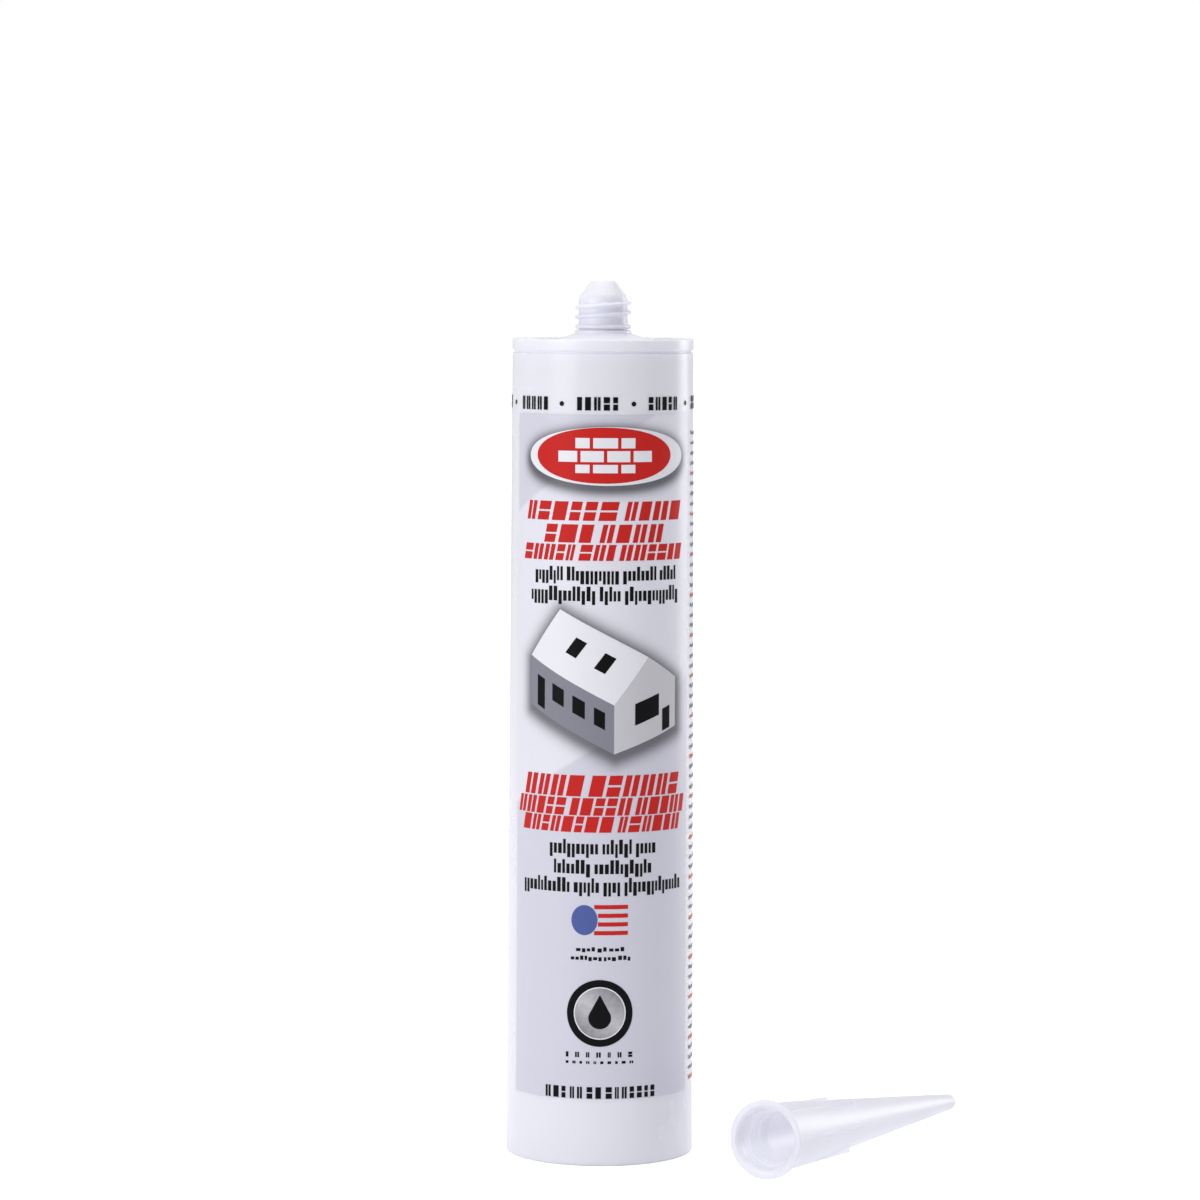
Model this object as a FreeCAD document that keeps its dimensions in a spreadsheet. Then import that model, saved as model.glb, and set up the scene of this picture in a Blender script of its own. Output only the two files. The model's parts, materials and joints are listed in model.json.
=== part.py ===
# Caulk tube: a moulded barrel with a follower piston and its sealant, and the screw-on nozzle beside it.
# Millimetres. The origin is the middle of the barrel's open rear end, on which it stands, and +Z runs to
# the neck.
import FreeCAD, Part
import Sketcher
import math
import os
import re

Vector = FreeCAD.Vector

# Driving dimensions, in millimetres and degrees.
SIZES = [
    ("barrel_height", 218.5, "base to the top of the rim"),
    ("bore_radius", 23.0, "parallel bore that the piston runs in"),
    ("base_wall", 2.1, "wall at the base, as if the bore ran through"),
    ("top_wall", 1.2, "wall under the rim, less by the mould's draft"),
    ("base_rounding", 0.6, "outer edge of the base"),
    ("mouth_step", 0.4, "how much wider the rear mouth is, to take the gun's plate"),
    ("mouth_depth", 17.0, "length of the rear mouth"),
    ("lead_in", 1.0, "cone between the rear mouth and the bore"),
    ("rim_step", 0.05, "outside of the rim to the top of the drafted wall"),
    ("rim_height", 3.0, "height of the rim band"),
    ("rim_wall", 1.85, "thickness of the rim ring over the sunken shoulder"),
    ("rim_rounding", 0.35, "edges of the rim"),
    ("groove_width", 0.8, "turned groove under the rim"),
    ("groove_depth", 0.6, "depth of that groove"),
    ("shoulder_depth", 3.0, "how far the shoulder starts below the rim's top"),
    ("head_slope", 16.0, "slope of the shoulder, in degrees"),
    ("head_wall", 1.8, "thickness of the head"),
    ("collar_radius", 7.5, "plain collar at the foot of the neck"),
    ("collar_height", 0.9, "height of the collar"),
    ("neck_radius", 6.5, "neck between the thread's turns"),
    ("neck_height", 15.3, "neck's tip above the rim's top"),
    ("neck_cone_length", 4.5, "length of the cone at the neck's tip"),
    ("neck_cone_rounding", 1.2, "edge at the foot of that cone"),
    ("neck_tip_radius", 3.1, "flat tip of the neck"),
    ("neck_tip_wall", 1.4, "membrane that is cut before use"),
    ("neck_tip_side", 0.7, "wall beside the membrane"),
    ("neck_cone_offset", 0.4, "foot of the neck's cone to where its passage starts to narrow"),
    ("neck_bore_radius", 4.4, "passage inside the neck"),
    ("bead_radius", 7.45, "outside of the sealing bead above the collar"),
    ("bead_section", 0.5, "radius of the bead's round section"),
    ("bead_rise", 1.85, "bead's middle above the collar's foot"),
    ("thread_pitch", 2.5, "rise of one turn, right-handed"),
    ("thread_depth", 0.95, "height of the ridge"),
    ("thread_crest", 0.45, "width of the ridge at its crest"),
    ("thread_foot", 1.45, "width of the ridge at its foot"),
    ("neck_turns", 2.3, "turns on the neck"),
    ("neck_thread_start", 4.4, "first turn above the rim's top"),
    ("piston_rest", 19.5, "piston's rear edge above the base in a full tube"),
    ("piston_length", 20.0, "piston's rear edge to its front corner"),
    ("piston_clearance", 0.05, "lips to the bore, at the radius"),
    ("lip_height", 1.5, "height of each wiping lip"),
    ("lip_step", 0.35, "skirt inside the lips' radius"),
    ("skirt_wall", 1.3, "thickness of the piston's skirt"),
    ("disc_wall", 1.6, "thickness of the piston's disc"),
    ("nose_radius", 4.2, "flat nose of the piston"),
    ("hub_radius", 6.0, "outside of the ring around the piston's middle"),
    ("hub_wall", 1.2, "thickness of that ring"),
    ("recess_depth", 8.0, "open skirt behind the ribs, where the gun's plate pushes"),
    ("rib_count", 8, "radial ribs of the piston"),
    ("rib_width", 1.2, "thickness of a rib"),
    ("fill_gap", 0.05, "sealant to the barrel's inside"),
    ("nose_gap", 0.3, "sealant to the piston"),
    ("nozzle_length", 113.0, "face of the mouth to the closed tip"),
    ("flange_radius", 10.4, "outside of the mouth's flange"),
    ("flange_height", 1.2, "thickness of the flange's edge"),
    ("flange_flare", 1.5, "hollow curve from the flange to the socket"),
    ("flange_rounding", 0.3, "edge of the flange"),
    ("socket_radius", 8.8, "outside of the threaded socket"),
    ("socket_length", 14.0, "face of the mouth to where the cone starts"),
    ("entry_radius", 8.9, "bevelled edge of the mouth"),
    ("entry_depth", 1.3, "depth of the bevel"),
    ("pilot_radius", 8.0, "plain bore that slips over the neck's collar"),
    ("pilot_depth", 3.2, "face of the mouth to the end of that bore"),
    ("thread_gap", 0.3, "play between the two threads, at the radius"),
    ("socket_turns", 3.2, "turns in the socket"),
    ("socket_thread_end", 12.0, "face of the mouth to the end of the threaded bore"),
    ("passage_radius", 6.4, "passage beyond the thread"),
    ("passage_step", 1.4, "seat that meets the neck's cone"),
    ("outlet_radius", 1.1, "passage at the tip"),
    ("nozzle_tip_radius", 2.2, "outside of the tip"),
    ("nozzle_tip_wall", 1.5, "closed end of the tip"),
    ("nozzle_tip_rounding", 0.8, "edge of the tip"),
    ("fin_count", 6, "grip fins"),
    ("fin_width", 1.1, "thickness of a fin"),
    ("fin_start", 1.0, "face of the mouth to the fins' near end"),
    ("fin_end", 41.75, "face of the mouth to the fins' far corner"),
    ("fin_slant", 1.1, "slant of the fins' far end"),
    ("fin_near_radius", 9.1, "fins' outer edge near the flange"),
    ("fin_far_radius", 8.0, "fins' outer edge at the far corner"),
    ("fin_root", 0.4, "how deep a fin roots in the wall"),
    ("nozzle_x", 43.3, "middle of the mouth's face, to the right of the barrel's axis"),
    ("nozzle_y", -40.6, "middle of the mouth's face, in front of the barrel's axis"),
    ("nozzle_angle", 60.3, "direction the nozzle points, from +X towards +Y, in degrees"),
    ("ink_height", 0.1, "printed ink, as a raised field"),
    ("ink_gap", 0.05, "ink to what lies under it"),
    ("panel_margin", 19.6, "rim's top to the printed panel"),
    ("panel_height", 181.0, "printed panel, top to bottom"),
    ("panel_left", 22.1, "panel's left edge from the barrel's axis"),
    ("panel_right", 22.7, "panel's right edge from the barrel's axis"),
    ("print_middle", 0.8, "the print's middle line, along the wall from the front"),
]

# Sizes that follow from the ones above.
DERIVED = [
    ("base_radius", "bore_radius + base_wall", "outside of the wall at the base"),
    ("top_radius", "bore_radius + top_wall", "outside of the wall under the rim"),
    ("mouth_radius", "bore_radius + mouth_step", "rear mouth"),
    ("rim_radius", "top_radius - rim_step", "outside of the rim at the head"),
    ("wall_height", "barrel_height - rim_height - groove_width", "top of the drafted wall"),
    ("rim_bore", "rim_radius - rim_wall", "inside of the rim ring"),
    ("shoulder_top", "barrel_height - shoulder_depth"
                     " + (rim_bore - collar_radius) * tan(head_slope)", "neck's foot"),
    ("head_corner", "barrel_height - shoulder_depth - head_wall / cos(head_slope)"
                    " - (bore_radius - rim_bore) * tan(head_slope)", "bore's upper corner"),
    ("neck_top", "barrel_height + neck_height", "tip of the neck"),
    ("neck_cone_foot", "neck_top - neck_cone_length", "foot of the neck's cone"),
    ("neck_inside_top", "neck_top - neck_tip_wall", "under the membrane"),
    ("neck_inside_tip", "neck_tip_radius - neck_tip_side", "passage under the membrane"),
    ("neck_inside_foot", "neck_cone_foot + neck_cone_offset", "where the passage starts to narrow"),
    ("lip_radius", "bore_radius - piston_clearance", "piston's lips"),
    ("skirt_radius", "lip_radius - lip_step", "piston's skirt"),
    ("skirt_bore", "skirt_radius - skirt_wall", "inside of the skirt"),
    ("piston_corner", "piston_rest + piston_length", "piston's front corner"),
    ("piston_nose", "piston_corner + (skirt_radius - nose_radius) * tan(head_slope)", "piston's flat nose"),
    ("disc_drop", "disc_wall / cos(head_slope)", "disc's thickness, measured upright"),
    ("socket_thread_root", "neck_radius + thread_depth + thread_gap", "threaded bore between its turns"),
    ("bevel_step", "pilot_radius - socket_thread_root", "small cone behind the plain bore"),
    ("cone_taper", "(socket_radius - nozzle_tip_radius) / (nozzle_length - socket_length)", "nozzle's taper"),
    ("panel_top", "barrel_height - panel_margin", "upper edge of the printed panel"),
]

NAMES = {row[0] for row in SIZES + DERIVED}

doc = FreeCAD.newDocument("caulk_tube")
sheet = doc.addObject("Spreadsheet::Sheet", "Sizes")
for line, (alias, value, note) in enumerate(SIZES + DERIVED, start=1):
    sheet.set(f"A{line}", alias.replace("_", " "))
    sheet.set(f"B{line}", f"={value}" if isinstance(value, str) else str(value))
    sheet.setAlias(f"B{line}", alias)
    sheet.set(f"C{line}", note)
doc.recompute()


def bound(text):
    """The same expression with each size read from the sheet."""
    return re.sub(r"[a-z_]+", lambda word: f"Sizes.{word[0]}" if word[0] in NAMES else word[0], str(text))


def size(text):
    """What an expression of sizes comes to."""
    return float(sheet.evalExpression(bound(text)))


# Sketches and features.
def origin_feature(body, role):
    return next(feature for feature in body.Origin.OriginFeatures if feature.Role == role)


def new_body(label):
    body = doc.addObject("PartDesign::Body", label)
    body.Label = label
    return body


def profile(body, name, corners, role="XZ_Plane"):
    """A closed outline on an origin plane, each corner held by two expressions: across and up."""
    sketch = body.newObject("Sketcher::SketchObject", name)
    sketch.AttachmentSupport = [(origin_feature(body, role), "")]
    sketch.MapMode = "FlatFace"
    places = [Vector(size(across), size(up), 0) for across, up in corners]
    for place, following in zip(places, places[1:] + places[:1]):
        sketch.addGeometry(Part.LineSegment(place, following), False)
    for index, (across, up) in enumerate(corners):
        sketch.addConstraint(Sketcher.Constraint("Coincident", (index - 1) % len(corners), 2, index, 1))
        hold(sketch, "DistanceX", index, across, f"across_{index}")
        hold(sketch, "DistanceY", index, up, f"up_{index}")
    return sketch


def hold(sketch, kind, index, text, name):
    """Keep one corner's distance from an axis at what the expression says."""
    if str(text) == "0":
        axis = -2 if kind == "DistanceX" else -1
        sketch.addConstraint(Sketcher.Constraint("PointOnObject", index, 1, axis))
        return
    number = sketch.addConstraint(Sketcher.Constraint(kind, -1, 1, index, 1, size(text)))
    sketch.renameConstraint(number, name)
    sketch.setExpression(f"Constraints.{name}", bound(text))


def revolve(body, name, sketch):
    turned = body.newObject("PartDesign::Revolution", name)
    turned.Profile = sketch
    turned.ReferenceAxis = (origin_feature(body, "Z_Axis"), [""])
    turned.Angle = 360
    doc.recompute()
    return turned


def helix(body, name, sketch, turns):
    """A right-handed ridge that follows a helix about the body's axis."""
    ridge = body.newObject("PartDesign::AdditiveHelix", name)
    ridge.Profile = sketch
    ridge.ReferenceAxis = (origin_feature(body, "Z_Axis"), [""])
    ridge.Mode = "pitch-height-angle"
    ridge.setExpression("Pitch", bound("thread_pitch"))
    ridge.setExpression("Height", bound(f"thread_pitch * {turns}"))
    doc.recompute()
    return ridge


def ring_of(body, name, feature, count):
    """The same feature at equal angles about the body's axis."""
    pattern = body.newObject("PartDesign::PolarPattern", name)
    pattern.Originals = [feature]
    pattern.Axis = (origin_feature(body, "Z_Axis"), [""])
    pattern.Angle = 360
    pattern.setExpression("Occurrences", bound(count))
    body.Tip = pattern
    doc.recompute()
    return pattern


def circles_at(shape, places):
    """Names of the round edges whose (radius, height) are among the places."""
    wanted = [(size(radius), size(height)) for radius, height in places]
    names = []
    for number, edge in enumerate(shape.Edges, start=1):
        if not isinstance(edge.Curve, Part.Circle):
            continue
        radius, height = edge.Curve.Radius, edge.Curve.Center.z
        if any(math.hypot(radius - r, height - z) < 0.01 for r, z in wanted):
            names.append(f"Edge{number}")
    return names


def blend(body, name, radius, places):
    """Round the edges at the given (radius, height) places."""
    base = body.Tip
    edges = circles_at(base.Shape, places)
    rounding = body.newObject("PartDesign::Fillet", name)
    rounding.Base = (base, edges)
    rounding.setExpression("Radius", bound(radius))
    doc.recompute()
    return rounding


# The barrel: wall, rim, sunken shoulder and closed neck, moulded in one.
def make_barrel():
    body = new_body("barrel")
    neck_under = "head_corner + (bore_radius - neck_bore_radius) * tan(head_slope)"
    section = profile(body, "BarrelSection", [
        ("mouth_radius", "0"),
        ("base_radius", "0"),
        ("top_radius", "wall_height"),
        ("top_radius - groove_depth", "wall_height"),
        ("top_radius - groove_depth", "barrel_height - rim_height"),
        ("rim_radius", "barrel_height - rim_height"),
        ("rim_radius", "barrel_height"),
        ("rim_bore", "barrel_height"),
        ("rim_bore", "barrel_height - shoulder_depth"),
        ("collar_radius", "shoulder_top"),
        ("collar_radius", "shoulder_top + collar_height"),
        ("neck_radius", "shoulder_top + collar_height"),
        ("neck_radius", "neck_cone_foot"),
        ("neck_tip_radius", "neck_top"),
        ("0", "neck_top"),
        ("0", "neck_inside_top"),
        ("neck_inside_tip", "neck_inside_top"),
        ("neck_bore_radius", "neck_inside_foot"),
        ("neck_bore_radius", neck_under),
        ("bore_radius", "head_corner"),
        ("bore_radius", "mouth_depth + lead_in"),
        ("mouth_radius", "mouth_depth"),
    ])
    revolve(body, "Wall", section)
    blend(body, "BaseEdge", "base_rounding", [("base_radius", "0")])
    blend(body, "RimEdges", "rim_rounding", [
        ("rim_radius", "barrel_height"),
        ("rim_bore", "barrel_height"),
        ("rim_radius", "barrel_height - rim_height"),
    ])
    blend(body, "NeckConeEdge", "neck_cone_rounding", [("neck_radius", "neck_cone_foot")])

    bead = body.newObject("Sketcher::SketchObject", "BeadSection")
    bead.AttachmentSupport = [(origin_feature(body, "XZ_Plane"), "")]
    bead.MapMode = "FlatFace"
    middle = Vector(size("bead_radius - bead_section"), size("shoulder_top + bead_rise"), 0)
    bead.addGeometry(Part.Circle(middle, Vector(0, 0, 1), size("bead_section")), False)
    places = (("DistanceX", "bead_radius - bead_section"), ("DistanceY", "shoulder_top + bead_rise"))
    for kind, text in places:
        number = bead.addConstraint(Sketcher.Constraint(kind, -1, 1, 0, 3, size(text)))
        bead.setExpression(f"Constraints[{number}]", bound(text))
    number = bead.addConstraint(Sketcher.Constraint("Radius", 0, size("bead_section")))
    bead.setExpression(f"Constraints[{number}]", bound("bead_section"))
    revolve(body, "SealingBead", bead)

    start = "barrel_height + neck_thread_start"
    ridge = profile(body, "NeckRidge", [
        ("neck_radius - thread_depth / 4", f"{start} - thread_foot / 2"),
        ("neck_radius", f"{start} - thread_foot / 2"),
        ("neck_radius + thread_depth", f"{start} - thread_crest / 2"),
        ("neck_radius + thread_depth", f"{start} + thread_crest / 2"),
        ("neck_radius", f"{start} + thread_foot / 2"),
        ("neck_radius - thread_depth / 4", f"{start} + thread_foot / 2"),
    ])
    helix(body, "NeckThread", ridge, "neck_turns")
    return body


# The follower piston: a coned disc with a skirt, two wiping lips, a hub and ribs on its open rear side.
def make_piston():
    body = new_body("piston")
    under = "piston_corner - disc_drop + (skirt_radius - {}) * tan(head_slope)"
    section = profile(body, "PistonSection", [
        ("skirt_bore", "piston_rest"),
        ("lip_radius", "piston_rest"),
        ("lip_radius", "piston_rest + lip_height"),
        ("skirt_radius", "piston_rest + lip_height + lip_step"),
        ("skirt_radius", "piston_corner - lip_height - 2 * lip_step"),
        ("lip_radius", "piston_corner - lip_height - lip_step"),
        ("lip_radius", "piston_corner - lip_step"),
        ("skirt_radius", "piston_corner"),
        ("nose_radius", "piston_nose"),
        ("0", "piston_nose"),
        ("0", "piston_nose - disc_drop"),
        ("nose_radius", "piston_nose - disc_drop"),
        ("hub_radius - hub_wall", under.format("(hub_radius - hub_wall)")),
        ("hub_radius - hub_wall", "piston_rest + recess_depth"),
        ("hub_radius", "piston_rest + recess_depth"),
        ("hub_radius", under.format("hub_radius")),
        ("skirt_bore", under.format("skirt_bore")),
    ])
    revolve(body, "DiscAndSkirt", section)

    inside = "hub_radius - hub_wall / 2"
    outside = "skirt_bore + skirt_wall / 2"
    rooted = "disc_wall / 2"
    rib_section = profile(body, "RibSection", [
        (inside, "piston_rest + recess_depth"),
        (outside, "piston_rest + recess_depth"),
        (outside, under.format(f"({outside})") + f" + {rooted}"),
        (inside, under.format(f"({inside})") + f" + {rooted}"),
    ])
    rib = body.newObject("PartDesign::Pad", "Rib")
    rib.Profile = rib_section
    rib.Midplane = True
    rib.setExpression("Length", bound("rib_width"))
    doc.recompute()
    ring_of(body, "Ribs", rib, "rib_count")
    return body


# The sealant: it fills the barrel and its neck ahead of the piston.
def make_sealant():
    body = new_body("sealant")
    radius = "bore_radius - fill_gap"
    neck = "neck_bore_radius - fill_gap"
    roof = "head_corner - fill_gap / cos(head_slope) + (bore_radius - {}) * tan(head_slope)"
    floor = "nose_gap / cos(head_slope)"
    section = profile(body, "FillSection", [
        ("0", f"piston_nose + {floor}"),
        ("nose_radius", f"piston_nose + {floor}"),
        ("skirt_radius", f"piston_corner + {floor}"),
        (radius, f"piston_corner + {floor}"),
        (radius, roof.format(f"({radius})")),
        (neck, roof.format(f"({neck})")),
        (neck, "neck_inside_foot - fill_gap"),
        ("neck_inside_tip - fill_gap", "neck_inside_top - fill_gap"),
        ("0", "neck_inside_top - fill_gap"),
    ])
    revolve(body, "Fill", section)
    return body


# The nozzle: a long cone with a flanged, threaded socket, six grip fins and a closed tip, moulded in one.
def make_nozzle():
    body = new_body("nozzle")
    section = profile(body, "NozzleSection", [
        ("entry_radius", "0"),
        ("flange_radius", "0"),
        ("flange_radius", "flange_height"),
        ("socket_radius", "flange_height"),
        ("socket_radius", "socket_length"),
        ("nozzle_tip_radius", "nozzle_length"),
        ("0", "nozzle_length"),
        ("0", "nozzle_length - nozzle_tip_wall"),
        ("outlet_radius", "nozzle_length - nozzle_tip_wall"),
        ("passage_radius", "socket_thread_end + passage_step"),
        ("socket_thread_root", "socket_thread_end"),
        ("socket_thread_root", "pilot_depth + bevel_step"),
        ("pilot_radius", "pilot_depth"),
        ("pilot_radius", "entry_depth"),
    ])
    revolve(body, "Cone", section)
    blend(body, "FlangeFlare", "flange_flare", [("socket_radius", "flange_height")])
    blend(body, "FlangeEdges", "flange_rounding", [
        ("flange_radius", "0"),
        ("flange_radius", "flange_height"),
    ])
    blend(body, "TipEdge", "nozzle_tip_rounding", [("nozzle_tip_radius", "nozzle_length")])

    start = "pilot_depth + bevel_step + thread_foot / 2"
    ridge = profile(body, "SocketRidge", [
        ("socket_thread_root + thread_depth / 4", f"{start} - thread_foot / 2"),
        ("socket_thread_root", f"{start} - thread_foot / 2"),
        ("socket_thread_root - thread_depth", f"{start} - thread_crest / 2"),
        ("socket_thread_root - thread_depth", f"{start} + thread_crest / 2"),
        ("socket_thread_root", f"{start} + thread_foot / 2"),
        ("socket_thread_root + thread_depth / 4", f"{start} + thread_foot / 2"),
    ])
    helix(body, "SocketThread", ridge, "socket_turns")

    foot = "socket_radius - fin_root"
    far_foot = "socket_radius - fin_root - (fin_end + fin_slant - socket_length) * cone_taper"
    fin_section = profile(body, "FinSection", [
        (foot, "fin_start"),
        ("fin_near_radius", "fin_start"),
        ("fin_far_radius", "fin_end"),
        (far_foot, "fin_end + fin_slant"),
        (foot, "socket_length"),
    ])
    fin = body.newObject("PartDesign::Pad", "Fin")
    fin.Profile = fin_section
    fin.Midplane = True
    fin.setExpression("Length", bound("fin_width"))
    doc.recompute()
    ring_of(body, "Fins", fin, "fin_count")
    body.Placement = nozzle_rest()
    return body


def dip_onto(heel, toe):
    """How far the nozzle tips before both round edges, each (place, reach, rounding), touch the floor."""
    run = toe[0] - heel[0]
    drop = toe[1] - heel[1]
    return math.asin((heel[2] - toe[2]) / math.hypot(run, drop)) - math.atan2(drop, run)


def nozzle_rest():
    """The nozzle lies on its flange's edge and on its tip, or on two fins where those touch first."""
    rounding = size("flange_rounding")
    tip_rounding = size("nozzle_tip_rounding")
    half_step = math.pi / size("fin_count")
    fin_reach = size("fin_far_radius") * math.cos(half_step) + size("fin_width") / 2 * math.sin(half_step)
    heel = (size("flange_height") - rounding, size("flange_radius") - rounding, rounding)
    taper = size("cone_taper")
    tip_reach = size("nozzle_tip_radius") + tip_rounding * (taper - math.hypot(1, taper))
    tip = (size("nozzle_length") - tip_rounding, tip_reach, tip_rounding)
    fin = (size("fin_end"), fin_reach, 0)
    dip = min(dip_onto(heel, tip), dip_onto(heel, fin))
    lift = heel[0] * math.sin(dip) + heel[1] * math.cos(dip) + heel[2]

    turn = math.radians(size("nozzle_angle"))
    level = Vector(math.sin(turn), -math.cos(turn), 0)
    along = Vector(math.cos(turn) * math.cos(dip), math.sin(turn) * math.cos(dip), -math.sin(dip))
    mouth = Vector(size("nozzle_x"), size("nozzle_y"), lift)
    return FreeCAD.Placement(mouth, FreeCAD.Rotation(level, along.cross(level), along))


# Printing on the wall, as flat fields and simple blocks in three inks. It is one column of rows, centred on
# the print's middle line: each starts a gap below the row above it, the first below the panel's top edge. The
# rows' gaps, heights, widths and spaces are proportions, which are fitted to the panel's height. A line's
# words share its width, and what lies inside a row's box is given as shares of that box.
SLANT = 0.22
SPACES = {"red": 1.6, "black": 1.8}
COLUMN = [
    {"form": "oval", "gap": 3.2, "height": 15.4, "width": 46.0, "inside": (0.06, 0.896, 0.04, 0.98)},
    {"form": "red", "gap": 4.2, "height": 5.0, "width": 45.6, "words": [27, 17]},
    {"form": "red", "gap": 1.0, "height": 4.7, "width": 32.6, "words": [13, 18]},
    {"form": "red", "gap": 0.6, "height": 4.2, "width": 47.2, "words": [17, 9, 18]},
    {"form": "black", "gap": 2.0, "height": 3.6, "width": 41.4, "words": [8, 14, 9, 5]},
    {"form": "black", "gap": 1.9, "height": 3.6, "width": 42.6, "words": [17, 6, 16]},
    {"form": "cabin", "gap": 1.8, "height": 38.1, "width": 43.0},
    {"form": "red", "gap": 5.4, "height": 5.6, "width": 45.6, "words": [18, 26]},
    {"form": "red", "gap": 0.5, "height": 4.6, "width": 50.2, "words": [15, 17, 15]},
    {"form": "red", "gap": 0.7, "height": 4.3, "width": 45.6, "words": [25, 19]},
    {"form": "black", "gap": 1.9, "height": 3.6, "width": 29.6, "words": [13, 8, 5]},
    {"form": "black", "gap": 1.7, "height": 3.4, "width": 25.8, "words": [9, 15]},
    {"form": "black", "gap": 1.3, "height": 3.4, "width": 45.4, "words": [12, 7, 5, 16]},
    {"form": "stripes", "gap": 3.5, "height": 8.1, "width": 15.0, "stripe": 0.148, "count": 4},
    {"form": "black", "gap": 3.0, "height": 1.4, "width": 14.6, "words": [9, 5, 8]},
    {"form": "black", "gap": 1.1, "height": 1.4, "width": 17.1, "words": [13, 7, 7]},
    {"form": "badge", "gap": 5.0, "height": 17.6, "width": 17.6, "ring": 0.114},
    {"form": "black", "gap": 1.3, "height": 2.0, "width": 17.0, "words": [1]},
    {"form": "black", "gap": 0.5, "height": 1.2, "width": 17.0, "words": [1]},
    {"form": "black", "gap": 6.0, "height": 3.2, "width": 29.6, "words": [7, 5, 14]},
]
CABIN = [(0.56, 0), (1, 0.18), (1, 0.52), (0.78, 0.67), (0.22, 1), (0, 0.67), (0, 0.33)]
BAND = {"rise": 4.4, "height": 3.3, "width": 42.0, "space": 1.8, "words": [20, 3, 23, 3, 21]}


def chord(along):
    """Distance from the middle plane of a place that lies this far along the wall."""
    radius = size("top_radius")
    return radius * math.sin((along + size("print_middle")) / radius)


def closed_outline(sketch, corners):
    for corner, following in zip(corners, corners[1:] + corners[:1]):
        sketch.addGeometry(Part.LineSegment(Vector(*corner, 0), Vector(*following, 0)), False)


def block(sketch, left, right, low, high, slant=0.0):
    """A printed block, leaning to the right by slant times its height."""
    lean = slant * (high - low)
    closed_outline(sketch, [
        (chord(left - lean / 2), low),
        (chord(right - lean / 2), low),
        (chord(right + lean / 2), high),
        (chord(left + lean / 2), high),
    ])


def round_field(sketch, left, right, low, high):
    """An ellipse between two places along the wall, or a circle where it is no wider than it is high."""
    across = (chord(right) + chord(left)) / 2
    wide = (chord(right) - chord(left)) / 2
    tall = (high - low) / 2
    middle = Vector(across, (high + low) / 2, 0)
    if wide > tall:
        sketch.addGeometry(Part.Ellipse(middle, wide, tall), False)
    else:
        sketch.addGeometry(Part.Circle(middle, Vector(0, 0, 1), tall), False)


def text_line(sketch, row, top, space, slant):
    """Blocks in place of a line's words."""
    words = row["words"]
    unit = (row["width"] - space * (len(words) - 1)) / sum(words)
    place = -row["width"] / 2
    for share in words:
        width = share * unit
        block(sketch, place, place + width, top - row["height"], top, slant)
        place += width + space


def draw_red(fields, row, top):
    text_line(fields["red"], row, top, row["space"], SLANT)


def draw_black(fields, row, top):
    text_line(fields["black"], row, top, row["space"], 0)


def draw_oval(fields, row, top):
    """A bare oval in the panel, and a red one inside it that leaves a border."""
    left, foot = -row["width"] / 2, top - row["height"]
    across = [left + row["width"] * share for share in row["inside"][:2]]
    up = [foot + row["height"] * share for share in row["inside"][2:]]
    round_field(fields["panel"], left, -left, foot, top)
    round_field(fields["oval"], *across, *up)


def draw_cabin(fields, row, top):
    """A plain cabin with a pitched roof, seen from above one corner, left bare in the panel."""
    foot = top - row["height"]
    closed_outline(fields["panel"], [
        (chord((across - 0.5) * row["width"]), foot + up * row["height"])
        for across, up in CABIN
    ])


def draw_stripes(fields, row, top):
    """Level red bars of one length."""
    half = row["width"] / 2
    bar = row["stripe"] * row["height"]
    step = (row["height"] - bar) / (row["count"] - 1)
    for number in range(row["count"]):
        high = top - number * step
        block(fields["red"], -half, half, high - bar, high)


def draw_badge(fields, row, top):
    """A black ring round a bare disc in the panel."""
    half = row["width"] / 2
    foot = top - row["height"]
    ring = row["ring"] * row["height"]
    inside = (ring - half, half - ring, foot + ring, top - ring)
    round_field(fields["panel"], *inside)
    round_field(fields["black"], *inside)
    round_field(fields["black"], -half, half, foot, top)


DRAW = {
    "red": draw_red,
    "black": draw_black,
    "oval": draw_oval,
    "cabin": draw_cabin,
    "stripes": draw_stripes,
    "badge": draw_badge,
}


def ink_sketch(name):
    sketch = doc.addObject("Sketcher::SketchObject", name)
    sketch.Placement = FreeCAD.Placement(Vector(0, 0, 0), FreeCAD.Rotation(Vector(1, 0, 0), 90))
    return sketch


def wall_body(name, lift):
    """The inside of the drafted wall's surface, widened all round by a lift."""
    cone = doc.addObject("Part::Cone", name)
    cone.setExpression("Radius1", bound(f"base_radius + {lift}"))
    cone.setExpression("Radius2", bound(f"top_radius + {lift}"))
    cone.setExpression("Height", bound("wall_height"))
    return cone


def wall_shell(name, inner, outer):
    """A layer that follows the wall, between two heights of ink above it."""
    shell = doc.addObject("Part::Cut", name)
    shell.Base = wall_body(name + "Over", outer)
    shell.Tool = wall_body(name + "Under", inner)
    return shell


def ink(label, sketch, shell):
    """The fields of a sketch, pressed from the front on the wall."""
    prism = doc.addObject("Part::Extrusion", label + "_prism")
    prism.Base = sketch
    prism.DirMode = "Custom"
    prism.Dir = Vector(0, -1, 0)
    prism.setExpression("LengthFwd", bound("base_radius * 2"))
    prism.Solid = True
    prism.FaceMakerClass = "Part::FaceMakerBullseye"
    field = doc.addObject("Part::MultiCommon", label)
    field.Shapes = [prism, shell]
    field.Label = label
    doc.recompute()
    return field


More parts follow.
